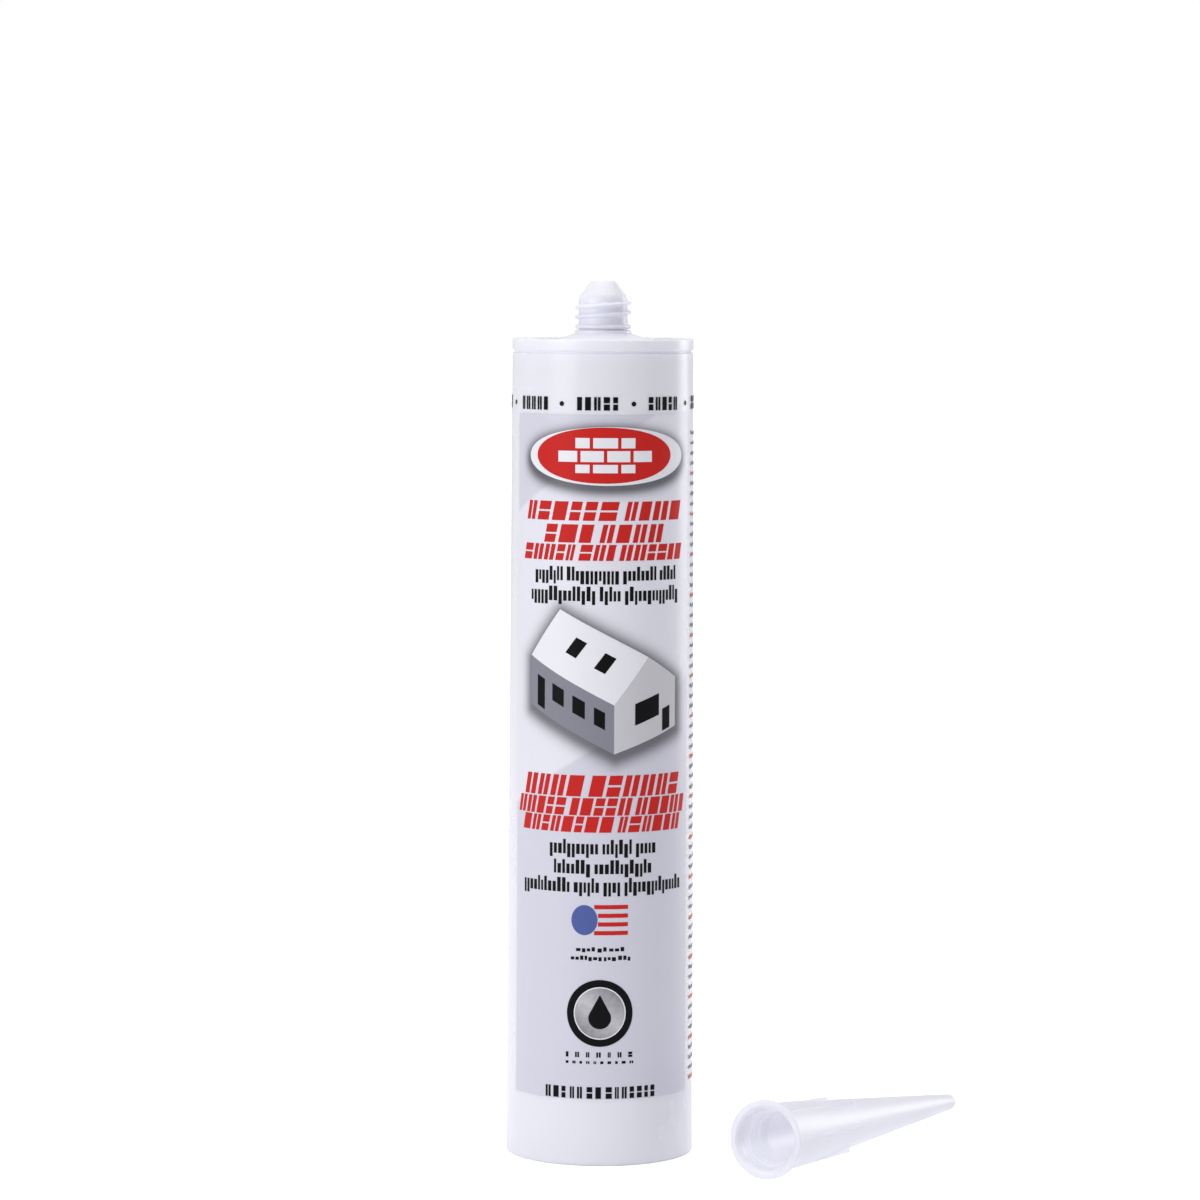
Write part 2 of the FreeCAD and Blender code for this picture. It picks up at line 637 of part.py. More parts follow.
def make_print():
    """A grey panel with bare openings, red headings and an oval, and black lines of small blocks."""
    first = wall_shell("InkBed", "ink_gap", "ink_gap + ink_height")
    second = wall_shell("InkTop", "2 * ink_gap + ink_height", "2 * (ink_gap + ink_height)")
    names = {"panel": "PanelFields", "oval": "OvalField", "red": "RedFields", "black": "BlackFields"}
    fields = {key: ink_sketch(name) for key, name in names.items()}

    high = size("panel_top")
    low = high - size("panel_height")
    left, right = -size("panel_left"), size("panel_right")
    closed_outline(fields["panel"], [(left, low), (right, low), (right, high), (left, high)])
    unit = size("panel_height") / sum(row["gap"] + row["height"] for row in COLUMN)
    top = high
    for row in COLUMN:
        top -= row["gap"] * unit
        fitted = {"height": row["height"] * unit, "width": row["width"] * unit}
        fitted["space"] = SPACES.get(row["form"], 0) * unit
        DRAW[row["form"]](fields, {**row, **fitted}, top)
        top -= fitted["height"]

    band = ink_sketch("BandFields")
    text_line(band, BAND, high + BAND["rise"], BAND["space"], 0)

    return [
        ink("print_panel", fields["panel"], first),
        ink("print_oval", fields["oval"], first),
        ink("print_headings", fields["red"], second),
        ink("print_text", fields["black"], second),
        ink("print_band", band, first),
    ]


def main():
    parts = [make_barrel(), make_piston(), make_sealant(), make_nozzle()]
    parts += make_print()
    doc.recompute()
    for item in doc.Objects:
        if "Invalid" in item.State or "Error" in item.State:
            raise RuntimeError(f"{item.Label} failed: {item.State}")
    for part in parts:
        if part.Shape.isNull() or not part.Shape.isValid():
            raise RuntimeError(f"{part.Label} has no valid shape")
    os.makedirs("parts", exist_ok=True)
    for part in parts:
        part.Shape.exportStep(f"parts/{part.Label}.step")
        box = part.Shape.BoundBox
        print(part.Label, len(part.Shape.Solids), "solids", round(part.Shape.Volume, 1), "mm3", box)


main()
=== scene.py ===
import json
import math

import bmesh
import bpy
import numpy as np
from bpy.props import FloatProperty, FloatVectorProperty, IntProperty, PointerProperty
from mathutils import Matrix, Vector


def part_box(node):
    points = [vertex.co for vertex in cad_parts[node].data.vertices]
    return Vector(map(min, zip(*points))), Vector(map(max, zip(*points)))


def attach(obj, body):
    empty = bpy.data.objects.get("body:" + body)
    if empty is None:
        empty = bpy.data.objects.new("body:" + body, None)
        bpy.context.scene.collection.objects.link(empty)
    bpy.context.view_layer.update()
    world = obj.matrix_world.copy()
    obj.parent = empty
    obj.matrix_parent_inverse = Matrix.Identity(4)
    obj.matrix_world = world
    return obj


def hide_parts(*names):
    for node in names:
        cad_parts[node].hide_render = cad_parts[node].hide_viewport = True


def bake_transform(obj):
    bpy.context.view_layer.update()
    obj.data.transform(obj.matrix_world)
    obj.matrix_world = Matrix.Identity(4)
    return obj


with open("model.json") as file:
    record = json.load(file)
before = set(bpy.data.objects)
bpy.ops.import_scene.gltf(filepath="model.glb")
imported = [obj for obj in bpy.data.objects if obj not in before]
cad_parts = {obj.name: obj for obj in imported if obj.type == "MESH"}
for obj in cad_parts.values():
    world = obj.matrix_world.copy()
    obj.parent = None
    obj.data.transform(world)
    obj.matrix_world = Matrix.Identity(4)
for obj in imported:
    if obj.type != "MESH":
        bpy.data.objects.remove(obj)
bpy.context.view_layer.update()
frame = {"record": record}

bl_info = {
    "name": "Caulk Tube",
    "version": (1, 0, 0),
    "blender": (4, 5, 0),
    "location": "View3D > Sidebar > Caulk Tube",
    "description": "A printed caulk tube with its piston, sealant and loose nozzle",
    "category": "Add Mesh",
}

MM = 0.001


def length(name, millimetres, about):
    """A size that the sidebar shows, given here in millimetres."""
    return FloatProperty(name=name, description=about, default=millimetres * MM,
                         subtype="DISTANCE", unit="LENGTH")


def tint(name, red, green, blue, about):
    """A colour that the sidebar shows, given here as it reads on a screen, from 0 to 255."""
    screen = np.array([red, green, blue]) / 255
    linear = np.where(screen > 0.04045, ((screen + 0.055) / 1.055) ** 2.4, screen / 12.92)
    return FloatVectorProperty(name=name, description=about, subtype="COLOR", size=3, min=0, max=1,
                               default=linear.tolist())


class TubeSizes(bpy.types.PropertyGroup):
    """Sizes of the moulded pieces."""

    height: length("Height", 218.5, "Base to the top of the rim")
    base_radius: length("Base radius", 25.1, "Outside of the wall at the base")
    top_radius: length("Top radius", 24.2, "Outside of the wall under the rim")
    bore_radius: length("Bore radius", 23.0, "Bore that the piston runs in")
    mouth_radius: length("Mouth radius", 23.4, "Wider rear mouth")
    mouth_depth: length("Mouth depth", 17.0, "Length of the rear mouth")
    rim_radius: length("Rim radius", 24.15, "Outside of the rim at the head")
    rim_height: length("Rim height", 3.0, "Height of the rim band")
    rim_wall: length("Rim wall", 1.85, "Thickness of the rim ring")
    neck_radius: length("Neck radius", 6.5, "Neck between the thread's turns")
    neck_height: length("Neck height", 15.3, "Tip of the neck above the rim")
    thread_pitch: length("Thread pitch", 2.5, "Rise of one turn")
    thread_depth: length("Thread depth", 0.95, "Height of the thread's ridge")
    piston_rest: length("Piston place", 19.5, "Piston's rear edge above the base")
    piston_length: length("Piston length", 20.0, "Piston's rear edge to its front corner")
    nozzle_length: length("Nozzle length", 113.0, "Face of the mouth to the closed tip")
    flange_radius: length("Flange radius", 10.4, "Outside of the nozzle's flange")
    socket_radius: length("Socket radius", 8.8, "Outside of the nozzle's threaded socket")
    socket_length: length("Socket length", 14.0, "Face of the mouth to where the cone starts")
    tip_radius: length("Tip radius", 2.2, "Outside of the nozzle's tip")
    fins: IntProperty(name="Fins", description="Grip fins round the nozzle", default=6, min=0, max=12)
    ribs: IntProperty(name="Ribs", description="Ribs behind the piston's disc", default=8, min=0, max=16)
    ink_lift: length("Ink lift", 0.05, "Height of a coat of ink above what it lies on")


class TubeColours(bpy.types.PropertyGroup):
    """Colours of the plastics, the filling and the inks."""

    barrel: tint("Barrel", 238, 238, 250, "Opaque white plastic of the barrel")
    piston: tint("Piston", 226, 227, 230, "Plastic of the piston")
    sealant: tint("Sealant", 236, 235, 230, "White paste")
    nozzle: tint("Nozzle", 242, 242, 250, "Cloudy clear plastic of the nozzle")
    panel: tint("Panel", 213, 212, 226, "Grey ink of the panel")
    sweep: tint("Sweep", 230, 230, 241, "Paler sweep across the panel")
    shade: tint("Shade", 60, 58, 68, "Soft shadows printed on the panel")
    white: tint("White", 236, 236, 243, "Bare places in the print")
    red: tint("Red", 203, 40, 36, "Red ink")
    black: tint("Black", 5, 5, 8, "Black ink")
    blue: tint("Blue", 84, 100, 164, "Blue ink of the ball beside the red bars")
    grey: tint("Grey", 138, 138, 150, "Grey walls in the picture")
    floor: tint("Floor", 248, 248, 250, "Floor under the tube")


# Surfaces

def softened(corners, steps=5):
    """A run of (radius, height, rounding) corners as a smooth profile of (radius, height) points.

    Each inner corner P, with unit directions a and b to its neighbours, becomes the curve
    (1 - t)^2 A + 2 t (1 - t) P + t^2 B with A = P + c a and B = P + c b, where c is the rounding or 0.4 of
    the shorter side. One guard point lies past A and one past B, so that the flats beside it shade flat.
    """
    points = np.array(corners, dtype=float)
    place = points[:, :2]
    middle = place[1:-1]
    back, ahead = place[:-2] - middle, place[2:] - middle
    back_length = np.linalg.norm(back, axis=1, keepdims=True)
    ahead_length = np.linalg.norm(ahead, axis=1, keepdims=True)
    back, ahead = back / back_length, ahead / ahead_length
    room = np.minimum(back_length, ahead_length)
    cut = np.minimum(points[1:-1, 2:], 0.4 * room)
    guard = np.minimum(cut + 0.25 * MM, 0.48 * room)
    t = np.linspace(0, 1, steps)[None, :, None]
    start, end, corner = (middle + cut * back)[:, None], (middle + cut * ahead)[:, None], middle[:, None]
    curve = (1 - t) ** 2 * start + 2 * t * (1 - t) * corner + t ** 2 * end
    run = np.concatenate([(middle + guard * back)[:, None], curve, (middle + guard * ahead)[:, None]], axis=1)
    return np.concatenate([place[:1], run.reshape(-1, 2), place[-1:]])


def level_run(radius, low, high, step):
    """Evenly spaced points of one radius between two heights."""
    heights = np.arange(low, high, step)
    return np.column_stack([np.full(len(heights), radius), heights])


def cells(rows, columns, closed=False):
    """Corner numbers of a grid's cells: each cell joins (i, j), (i, j+1), (i+1, j+1) and (i+1, j)."""
    i = np.arange(rows - 1)[:, None]
    j = np.arange(columns if closed else columns - 1)[None, :]
    k = (j + 1) % columns
    return np.stack([
        i * columns + j, i * columns + k, (i + 1) * columns + k, (i + 1) * columns + j,
    ], -1).reshape(-1, 4)


def turned(profile, angles, radii=None):
    """A closed skin turned about the Z axis from a profile whose two ends lie on the axis.

    Point (i, j) is (r cos a, r sin a, z), with r and z those of profile point i and a the j-th angle. Radii,
    where given, are a grid that replaces r. Each end is one point with a fan of triangles.
    """
    inner = profile[1:-1]
    rows, columns = len(inner), len(angles)
    radius = np.repeat(inner[:, :1], columns, axis=1) if radii is None else radii
    height = np.repeat(inner[:, 1:], columns, axis=1)
    grid = np.stack([radius * np.cos(angles), radius * np.sin(angles), height], -1).reshape(-1, 3)
    poles = np.array([[0, 0, profile[0, 1]], [0, 0, profile[-1, 1]]])
    j = np.arange(columns)
    k = (j + 1) % columns
    first = np.stack([np.full(columns, rows * columns), k, j], -1)
    last = np.stack([
        (rows - 1) * columns + j, (rows - 1) * columns + k, np.full(columns, rows * columns + 1),
    ], -1)
    return (np.concatenate([grid, poles]),
            cells(rows, columns, closed=True).tolist() + first.tolist() + last.tolist())


def ridge(height, angle, start, turns, pitch, depth):
    """Height of a right-handed thread above its core.

    The ridge's middle climbs one pitch a turn from the start. The nearest turn k is the whole number closest
    to (height - start) / pitch - angle / 2 pi. The section is a smooth step from the foot's edge, 0.29 pitch
    from the middle, to the crest's, 0.09 pitch from it. Both ends fade out within a seventh of a turn.
    """
    turn = angle / (2 * math.pi)
    along = np.round((height - start) / pitch - turn) + turn
    away = np.abs(height - start - pitch * along) / pitch
    rise = np.clip((0.29 - away) / 0.20, 0, 1)
    ends = np.clip(along / 0.14, 0, 1) * np.clip((turns - along) / 0.14, 0, 1)
    return depth * rise ** 2 * (3 - 2 * rise) * ends


def plates(corners, width, edge, count):
    """Upright plates with eased edges, at equal angles about the Z axis.

    The outline's points (radius, height) are drawn in towards their mean by 0, by the edge's share or fully,
    at five places across the width, and each plate is then turned by its angle.
    """
    outline = np.array(corners, dtype=float)
    middle = outline.mean(axis=0)
    across = np.array([-0.5, -0.5, -0.5, 0.5, 0.5, 0.5]) * width + np.array([0, 0, edge, -edge, 0, 0])
    reach = np.abs(outline - middle).max(axis=0)
    draw = np.array([0, 1, 1, 1, 1, 0])[:, None] - np.array([0, 1, 0, 0, 1, 0])[:, None] * edge / reach
    flat = middle + (outline - middle)[None] * draw[:, None]
    side = np.repeat(across[:, None], len(outline), axis=1)
    turn = np.arange(count)[:, None, None] * 2 * math.pi / count
    x = flat[None, ..., 0] * np.cos(turn) - side[None] * np.sin(turn)
    y = flat[None, ..., 0] * np.sin(turn) + side[None] * np.cos(turn)
    points = np.stack([x, y, np.broadcast_to(flat[None, ..., 1], x.shape)], -1).reshape(-1, 3)
    one = cells(6, len(outline), closed=True)
    faces = one[None] + np.arange(count)[:, None, None] * 6 * len(outline)
    return points, faces.reshape(-1, 4).tolist()


def wall_radius(sizes, height):
    """The drafted wall's radius: it falls evenly from the base to the groove under the rim."""
    top = sizes.height - sizes.rim_height - 0.8 * MM
    return sizes.base_radius - (sizes.base_radius - sizes.top_radius) * height / top


def wrapped(sizes, flat, coats):
    """Places on the wall for flat points (along the wall, height), so many coats of ink up.

    The angle from the front is the distance along the wall over the wall's radius at that height.
    """
    along, height = flat[..., 0] * MM, flat[..., 1] * MM
    radius = wall_radius(sizes, height)
    angle = along / radius
    out = radius + coats * sizes.ink_lift
    return np.stack([out * np.sin(angle), -out * np.cos(angle), height], -1)


def fields(corners, across=4, up=1):
    """Flat four-sided fields, each a grid of its corners mixed evenly both ways.

    Corners run low left, low right, high right, high left. Point (s, t) of a field is
    (1 - t) ((1 - s) low left + s low right) + t ((1 - s) high left + s high right).
    """
    corners = np.asarray(corners, dtype=float).reshape(-1, 4, 2)[:, None, None]
    s = np.linspace(0, 1, across + 1)[None, None, :, None]
    t = np.linspace(0, 1, up + 1)[None, :, None, None]
    low = (1 - s) * corners[..., 0, :] + s * corners[..., 1, :]
    high = (1 - s) * corners[..., 3, :] + s * corners[..., 2, :]
    return (1 - t) * low + t * high


def oval_field(middle, outer, inner=(0, 0), rings=14, spokes=96):
    """An ellipse, or the ring between two, as a grid of angle and distance, from the outside in."""
    t = np.linspace(1, 0, rings + 1)[:, None]
    a = np.linspace(0, 2 * math.pi, spokes + 1)[None, :]
    wide = inner[0] + (outer[0] - inner[0]) * t
    high = inner[1] + (outer[1] - inner[1]) * t
    return np.stack([middle[0] + wide * np.cos(a), middle[1] + high * np.sin(a)], -1)[None]


def bars(left, right, low, high, slant=0.0):
    """Corners of level bars that lean to the right by slant times their height."""
    left, right, low, high = np.broadcast_arrays(left, right, low, high)
    lean = slant * (high - low) / 2
    return np.stack([np.stack([left - lean, low], -1), np.stack([right - lean, low], -1),
                     np.stack([right + lean, high], -1), np.stack([left + lean, high], -1)], -2)


def word_line(left, right, low, high, counts, seed, slant=0.0, space=0.5, gap=0.2, plain=False):
    """Blocks in place of a line of letters, as corners of bars.

    The line's width is shared among its letters, whose widths vary by a quarter, with gaps inside a word and
    spaces between words given in letter widths. A block is whole, or parted by a level or an upright slit. In
    a plain line of small letters none is parted, and some rise above or fall below the others.
    """
    random = np.random.default_rng(seed)
    letters = sum(counts)
    widths = random.uniform(0.75, 1.25, letters)
    ends_word = np.zeros(letters, dtype=bool)
    ends_word[np.cumsum(counts) - 1] = True
    after = np.where(ends_word, space, gap)
    after[-1] = 0
    starts = np.concatenate([[0], np.cumsum(widths + after)[:-1]])
    unit = (right - left) / (starts[-1] + widths[-1])
    x0, x1 = left + starts * unit, left + (starts + widths) * unit
    tall = high - low
    kind = random.integers(0, 3, letters)
    if plain:
        z0 = low + np.where(kind == 1, 0, 0.2) * tall
        z1 = high - np.where(kind == 2, 0, 0.24) * tall
        return bars(x0, x1, z0, z1, slant)
    whole, level, upright = (kind == number for number in range(3))
    shift = 0.275 * slant * tall
    inner_left, inner_right = x0 + 0.42 * (x1 - x0), x0 + 0.58 * (x1 - x0)
    return np.concatenate([
        bars(x0[whole], x1[whole], low, high, slant),
        bars(x0[level] - shift, x1[level] - shift, low, low + 0.45 * tall, slant),
        bars(x0[level] + shift, x1[level] + shift, low + 0.55 * tall, high, slant),
        bars(x0[upright], inner_left[upright], low, high, slant),
        bars(inner_right[upright], x1[upright], low, high, slant),
    ])


def past_oval(points, middle, half):
    """About how far flat points lie outside an ellipse, and 0 inside it.

    With q the point less the middle, over the half widths, and r the length of q, the distance is close to
    (r - 1) r over the length of q over the half widths.
    """
    q = (points - middle) / half
    r = np.linalg.norm(q, axis=1)
    return np.maximum(r - 1, 0) * r / np.maximum(np.linalg.norm(q / half, axis=1), 1e-6)


def past_outline(points, corners):
    """How far flat points lie from the nearest side of a convex outline, and 0 inside it."""
    corners = np.asarray(corners, dtype=float)
    side = np.roll(corners, -1, axis=0) - corners
    from_corner = points[:, None] - corners[None]
    share = np.clip((from_corner * side).sum(-1) / (side ** 2).sum(-1), 0, 1)
    away = np.linalg.norm(from_corner - share[..., None] * side, axis=-1).min(axis=1)
    inside = (side[:, 0] * from_corner[..., 1] - side[:, 1] * from_corner[..., 0] >= 0).all(axis=1)
    return np.where(inside, 0, away)


def printed_shade(points):
    """Strength of the soft shadows printed round the oval and the cabin, from 0 to 1.

    Each is k exp(-(d / s)^2), with d the distance past the form, which is first moved down a little.
    """
    round_oval = past_oval(points, np.array([1.65, 187.0]), np.array([23.25, 7.7]))
    round_cabin = past_outline(points, np.array(cabin_outline()) + (0.4, -1.0))
    return np.maximum(0.9 * np.exp(-(round_oval / 2.0) ** 2), 0.85 * np.exp(-(round_cabin / 2.9) ** 2))


# Meshes and objects

def skin(name, parts, materials, smooth_angle=38):
    """An object from (points, faces, material number) parts, with doubles merged and sharp edges marked."""
    points = np.concatenate([part[0] for part in parts])
    faces, slots, base = [], [], 0
    for part_points, part_faces, slot in parts:
        faces += (np.array(part_faces) + base).tolist() if len({len(f) for f in part_faces}) == 1 \
            else [[corner + base for corner in face] for face in part_faces]
        slots += [slot] * len(part_faces)
        base += len(part_points)
    mesh = bpy.data.meshes.new(name)
    mesh.from_pydata(points.tolist(), [], faces)
    mesh.polygons.foreach_set("material_index", slots)
    for material in materials:
        mesh.materials.append(material)
    tidy = bmesh.new()
    tidy.from_mesh(mesh)
    bmesh.ops.remove_doubles(tidy, verts=tidy.verts, dist=1e-7)
    bmesh.ops.dissolve_degenerate(tidy, edges=tidy.edges, dist=1e-8)
    tidy.to_mesh(mesh)
    tidy.free()
    mesh.shade_smooth()
    mesh.set_sharp_from_angle(angle=math.radians(smooth_angle))
    mesh.update()
    piece = bpy.data.objects.new(name, mesh)
    bpy.context.scene.collection.objects.link(piece)
    return piece


def printed(name, sizes, layers, materials):
    """Ink on the wall from (flat grids, coats up, material number) layers, with its flat places as a UV map.

    The map holds tenths of a metre along the wall and up it, so that a pattern can follow the surface.
    """
    points, faces, slots, flats, base = [], [], [], [], 0
    for grids, coats, slot in layers:
        count, rows, columns = grids.shape[:3]
        points.append(wrapped(sizes, grids, coats).reshape(-1, 3))
        flats.append(grids.reshape(-1, 2))
        one = cells(rows, columns)
        mine = (one[None] + np.arange(count)[:, None, None] * rows * columns).reshape(-1, 4) + base
        faces.append(mine)
        slots.append(np.full(len(mine), slot))
        base += count * rows * columns
    points, flats, faces, slots = (np.concatenate(item) for item in (points, flats, faces, slots))
    mesh = bpy.data.meshes.new(name)
    mesh.from_pydata(points.tolist(), [], faces.tolist())
    mesh.polygons.foreach_set("material_index", slots)
    for material in materials:
        mesh.materials.append(material)
    places = mesh.uv_layers.new(name="wall")
    places.data.foreach_set("uv", (flats[faces.reshape(-1)] * 0.01).astype(np.float32).reshape(-1))
    mesh.shade_smooth()
    mesh.update()
    piece = bpy.data.objects.new(name, mesh)
    bpy.context.scene.collection.objects.link(piece)
    return piece


# Materials

def socket(group, name, kind, default=None, output=False):
    new = group.interface.new_socket(name=name, in_out="OUTPUT" if output else "INPUT", socket_type=kind)
    if default is not None:
        new.default_value = default
    return new


def value_node(tree, operation, first, second, clamp=False):
    """A Math node whose inputs are sockets or numbers."""
    node = tree.nodes.new("ShaderNodeMath")
    node.operation = operation
    node.use_clamp = clamp
    for place, given in enumerate((first, second)):
        if isinstance(given, (int, float)):
            node.inputs[place].default_value = given
        elif given is not None:
            tree.links.new(given, node.inputs[place])
    return node.outputs[0]


def moulded_skin():
    """Node group: the slight orange peel and uneven gloss of a moulded or printed surface."""
    name = "Moulded skin"
    if name in bpy.data.node_groups:
        return bpy.data.node_groups[name]
    group = bpy.data.node_groups.new(name, "ShaderNodeTree")
    socket(group, "Vector", "NodeSocketVector")
    socket(group, "Grain", "NodeSocketFloat", 400.0)
    socket(group, "Gloss", "NodeSocketFloat", 0.35)
    socket(group, "Uneven", "NodeSocketFloat", 0.06)
    socket(group, "Roughness", "NodeSocketFloat", output=True)
    socket(group, "Height", "NodeSocketFloat", output=True)
    inside, outside = group.nodes.new("NodeGroupInput"), group.nodes.new("NodeGroupOutput")
    fine, broad = group.nodes.new("ShaderNodeTexNoise"), group.nodes.new("ShaderNodeTexNoise")
    for noise, detail in ((fine, 2.0), (broad, 3.0)):
        noise.inputs["Detail"].default_value = detail
        group.links.new(inside.outputs["Vector"], noise.inputs["Vector"])
    group.links.new(inside.outputs["Grain"], fine.inputs["Scale"])
    broad.inputs["Scale"].default_value = 38.0
    spread = value_node(group, "SUBTRACT", broad.outputs["Fac"], 0.5)
    uneven = value_node(group, "MULTIPLY", spread, inside.outputs["Uneven"])
    doubled = value_node(group, "MULTIPLY", uneven, 2.0)
    group.links.new(value_node(group, "ADD", inside.outputs["Gloss"], doubled), outside.inputs["Roughness"])
    group.links.new(fine.outputs["Fac"], outside.inputs["Height"])
    return group


def plastic(name, colour, gloss, uneven=0.05, grain=900.0, bump=0.02, **shader):
    """A moulded plastic or an ink, in one colour, with the moulded skin on Object coordinates."""
    material = bpy.data.materials.new(name)
    material.use_nodes = True
    tree = material.node_tree
    principled = tree.nodes["Principled BSDF"]
    principled.inputs["Base Color"].default_value = (*colour, 1)
    for label, amount in shader.items():
        principled.inputs[label.replace("_", " ")].default_value = amount
    place = tree.nodes.new("ShaderNodeTexCoord")
    surface = tree.nodes.new("ShaderNodeGroup")
    surface.node_tree = moulded_skin()
    surface.inputs["Grain"].default_value = grain
    surface.inputs["Gloss"].default_value = gloss
    surface.inputs["Uneven"].default_value = uneven
    tree.links.new(place.outputs["Object"], surface.inputs["Vector"])
    tree.links.new(surface.outputs["Roughness"], principled.inputs["Roughness"])
    relief = tree.nodes.new("ShaderNodeBump")
    relief.inputs["Strength"].default_value = bump
    relief.inputs["Distance"].default_value = 0.0002
    tree.links.new(surface.outputs["Height"], relief.inputs["Height"])
    tree.links.new(relief.outputs["Normal"], principled.inputs["Normal"])
    return material


def nozzle_material(colours):
    """Cloudy clear plastic: a part of the light goes through its walls and brightens the inside."""
    material = plastic("Nozzle plastic", colours.nozzle, 0.32, uneven=0.06, bump=0.03,
                       Transmission_Weight=0.42)
    tree = material.node_tree
    seen = tree.nodes.new("ShaderNodeLightPath")
    through = value_node(tree, "MAXIMUM", seen.outputs["Is Shadow Ray"], seen.outputs["Is Diffuse Ray"])
    clear = tree.nodes.new("ShaderNodeBsdfTransparent")
    clear.inputs["Color"].default_value = (0.98, 0.98, 1.0, 1)
    mix = tree.nodes.new("ShaderNodeMixShader")
    tree.links.new(value_node(tree, "MULTIPLY", through, 0.94), mix.inputs["Fac"])
    tree.links.new(tree.nodes["Principled BSDF"].outputs[0], mix.inputs[1])
    tree.links.new(clear.outputs[0], mix.inputs[2])
    tree.links.new(mix.outputs[0], tree.nodes["Material Output"].inputs["Surface"])
    return material


def panel_material(colours):
    """Grey ink with a lighter slanting sweep across it, and soft shadows by the strength in "shade"."""
    material = plastic("Panel ink", colours.panel, 0.30, uneven=0.04, grain=900.0, bump=0.015)
    tree = material.node_tree
    places = tree.nodes.new("ShaderNodeUVMap")
    places.uv_map = "wall"
    parts = tree.nodes.new("ShaderNodeSeparateXYZ")
    tree.links.new(places.outputs["UV"], parts.inputs[0])
    along, height = parts.outputs[0], parts.outputs[1]

    def beside(first, second):
        """A mask that is 1 above the line through two flat places, with a narrow soft edge."""
        rise = (second[1] - first[1]) / (second[0] - first[0])
        line = value_node(tree, "ADD", value_node(tree, "MULTIPLY", along, rise), first[1] - rise * first[0])
        over = value_node(tree, "SUBTRACT", height, line)
        return value_node(tree, "ADD", value_node(tree, "DIVIDE", over, 0.012), 0.5, clamp=True)

    upper = beside((-0.276, 1.726), (0.146, 1.988))
    lower = value_node(tree, "SUBTRACT", 1.0, beside((-0.266, 0.959), (0.0, 1.121)), clamp=True)
    outside = value_node(tree, "ADD", upper, lower, clamp=True)

    def mixed(fac, first, second):
        mix = tree.nodes.new("ShaderNodeMix")
        mix.data_type = "RGBA"
        tree.links.new(fac, mix.inputs["Factor"])
        for place, given in (("A", first), ("B", second)):
            spot = next(s for s in mix.inputs if s.name == place and s.type == "RGBA")
            if hasattr(given, "is_linked"):
                tree.links.new(given, spot)
            else:
                spot.default_value = (*given, 1)
        return next(s for s in mix.outputs if s.type == "RGBA")

    ground = mixed(outside, tuple(colours.sweep), tuple(colours.panel))
    speckle = tree.nodes.new("ShaderNodeTexNoise")
    speckle.inputs["Scale"].default_value = 900.0
    speckle.inputs["Detail"].default_value = 2.0
    tree.links.new(places.outputs["UV"], speckle.inputs["Vector"])
    grain = value_node(tree, "ADD", value_node(tree, "MULTIPLY", speckle.outputs["Fac"], 0.7), 0.65)
    shade = tree.nodes.new("ShaderNodeAttribute")
    shade.attribute_name = "shade"
    shades = value_node(tree, "MULTIPLY", shade.outputs["Fac"], grain, clamp=True)
    tree.links.new(mixed(shades, ground, tuple(colours.shade)),
                   tree.nodes["Principled BSDF"].inputs["Base Color"])
    return material


def badge_material():
    """Grey ink printed to look like brushed metal: a slanting pale band over a blotched ground."""
    material = plastic("Badge ink", (0.3, 0.3, 0.32), 0.3, uneven=0.1, bump=0.02)
    tree = material.node_tree
    places = tree.nodes.new("ShaderNodeUVMap")
    places.uv_map = "wall"
    parts = tree.nodes.new("ShaderNodeSeparateXYZ")
    tree.links.new(places.outputs["UV"], parts.inputs[0])
    slanting = value_node(tree, "ADD", value_node(tree, "MULTIPLY", parts.outputs[0], 0.7), parts.outputs[1])
    away = value_node(tree, "ABSOLUTE", value_node(tree, "SUBTRACT", slanting, 0.409), None)
    band = value_node(tree, "SUBTRACT", 1.0, value_node(tree, "MULTIPLY", away, 12.0), clamp=True)
    blotch = tree.nodes.new("ShaderNodeTexNoise")
    blotch.inputs["Scale"].default_value = 60.0
    blotch.inputs["Detail"].default_value = 4.0
    tree.links.new(places.outputs["UV"], blotch.inputs["Vector"])
    amount = value_node(tree, "ADD", value_node(tree, "MULTIPLY", band, 0.6),
                        value_node(tree, "MULTIPLY", blotch.outputs["Fac"], 0.5), clamp=True)
    ramp = tree.nodes.new("ShaderNodeValToRGB")
    ramp.color_ramp.elements[0].color = (0.11, 0.11, 0.13, 1)
    ramp.color_ramp.elements[1].color = (0.62, 0.62, 0.66, 1)
    tree.links.new(amount, ramp.inputs["Fac"])
    tree.links.new(ramp.outputs["Color"], tree.nodes["Principled BSDF"].inputs["Base Color"])
    return material


def lone(name, build):
    """The material of that name, made on first use."""
    return bpy.data.materials.get(name) or build()


def ink(name, colour):
    """One flat ink, less glossy than the plastic under it."""
    return lone(name, lambda: plastic(name, colour, 0.36, uneven=0.04, bump=0.015, Specular_IOR_Level=0.1))


def inks(colours):
    """The inks that several pieces share, by plain names."""
    return {
        "red": ink("Red ink", colours.red),
        "black": ink("Black ink", colours.black),
        "white": lone("White ink",
                      lambda: plastic("White ink", colours.white, 0.34, uneven=0.04, bump=0.015)),
        "grey": ink("Grey ink", colours.grey),
        "blue": ink("Blue ink", colours.blue),
    }


def settle(piece, body, slot, *nodes):
    """Give a finished piece its body, and hide the solids that it stands for. The slot is not used."""
    if nodes:
        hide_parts(*nodes)
    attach(piece, body)


class TubeStep:
    """What every step of the build shares."""

    bl_options = {"REGISTER", "UNDO"}

    @property
    def sizes(self):
        return bpy.context.scene.tube_sizes

    @property
    def colours(self):
        return bpy.context.scene.tube_colours


HEAD_SLOPE = math.radians(16)


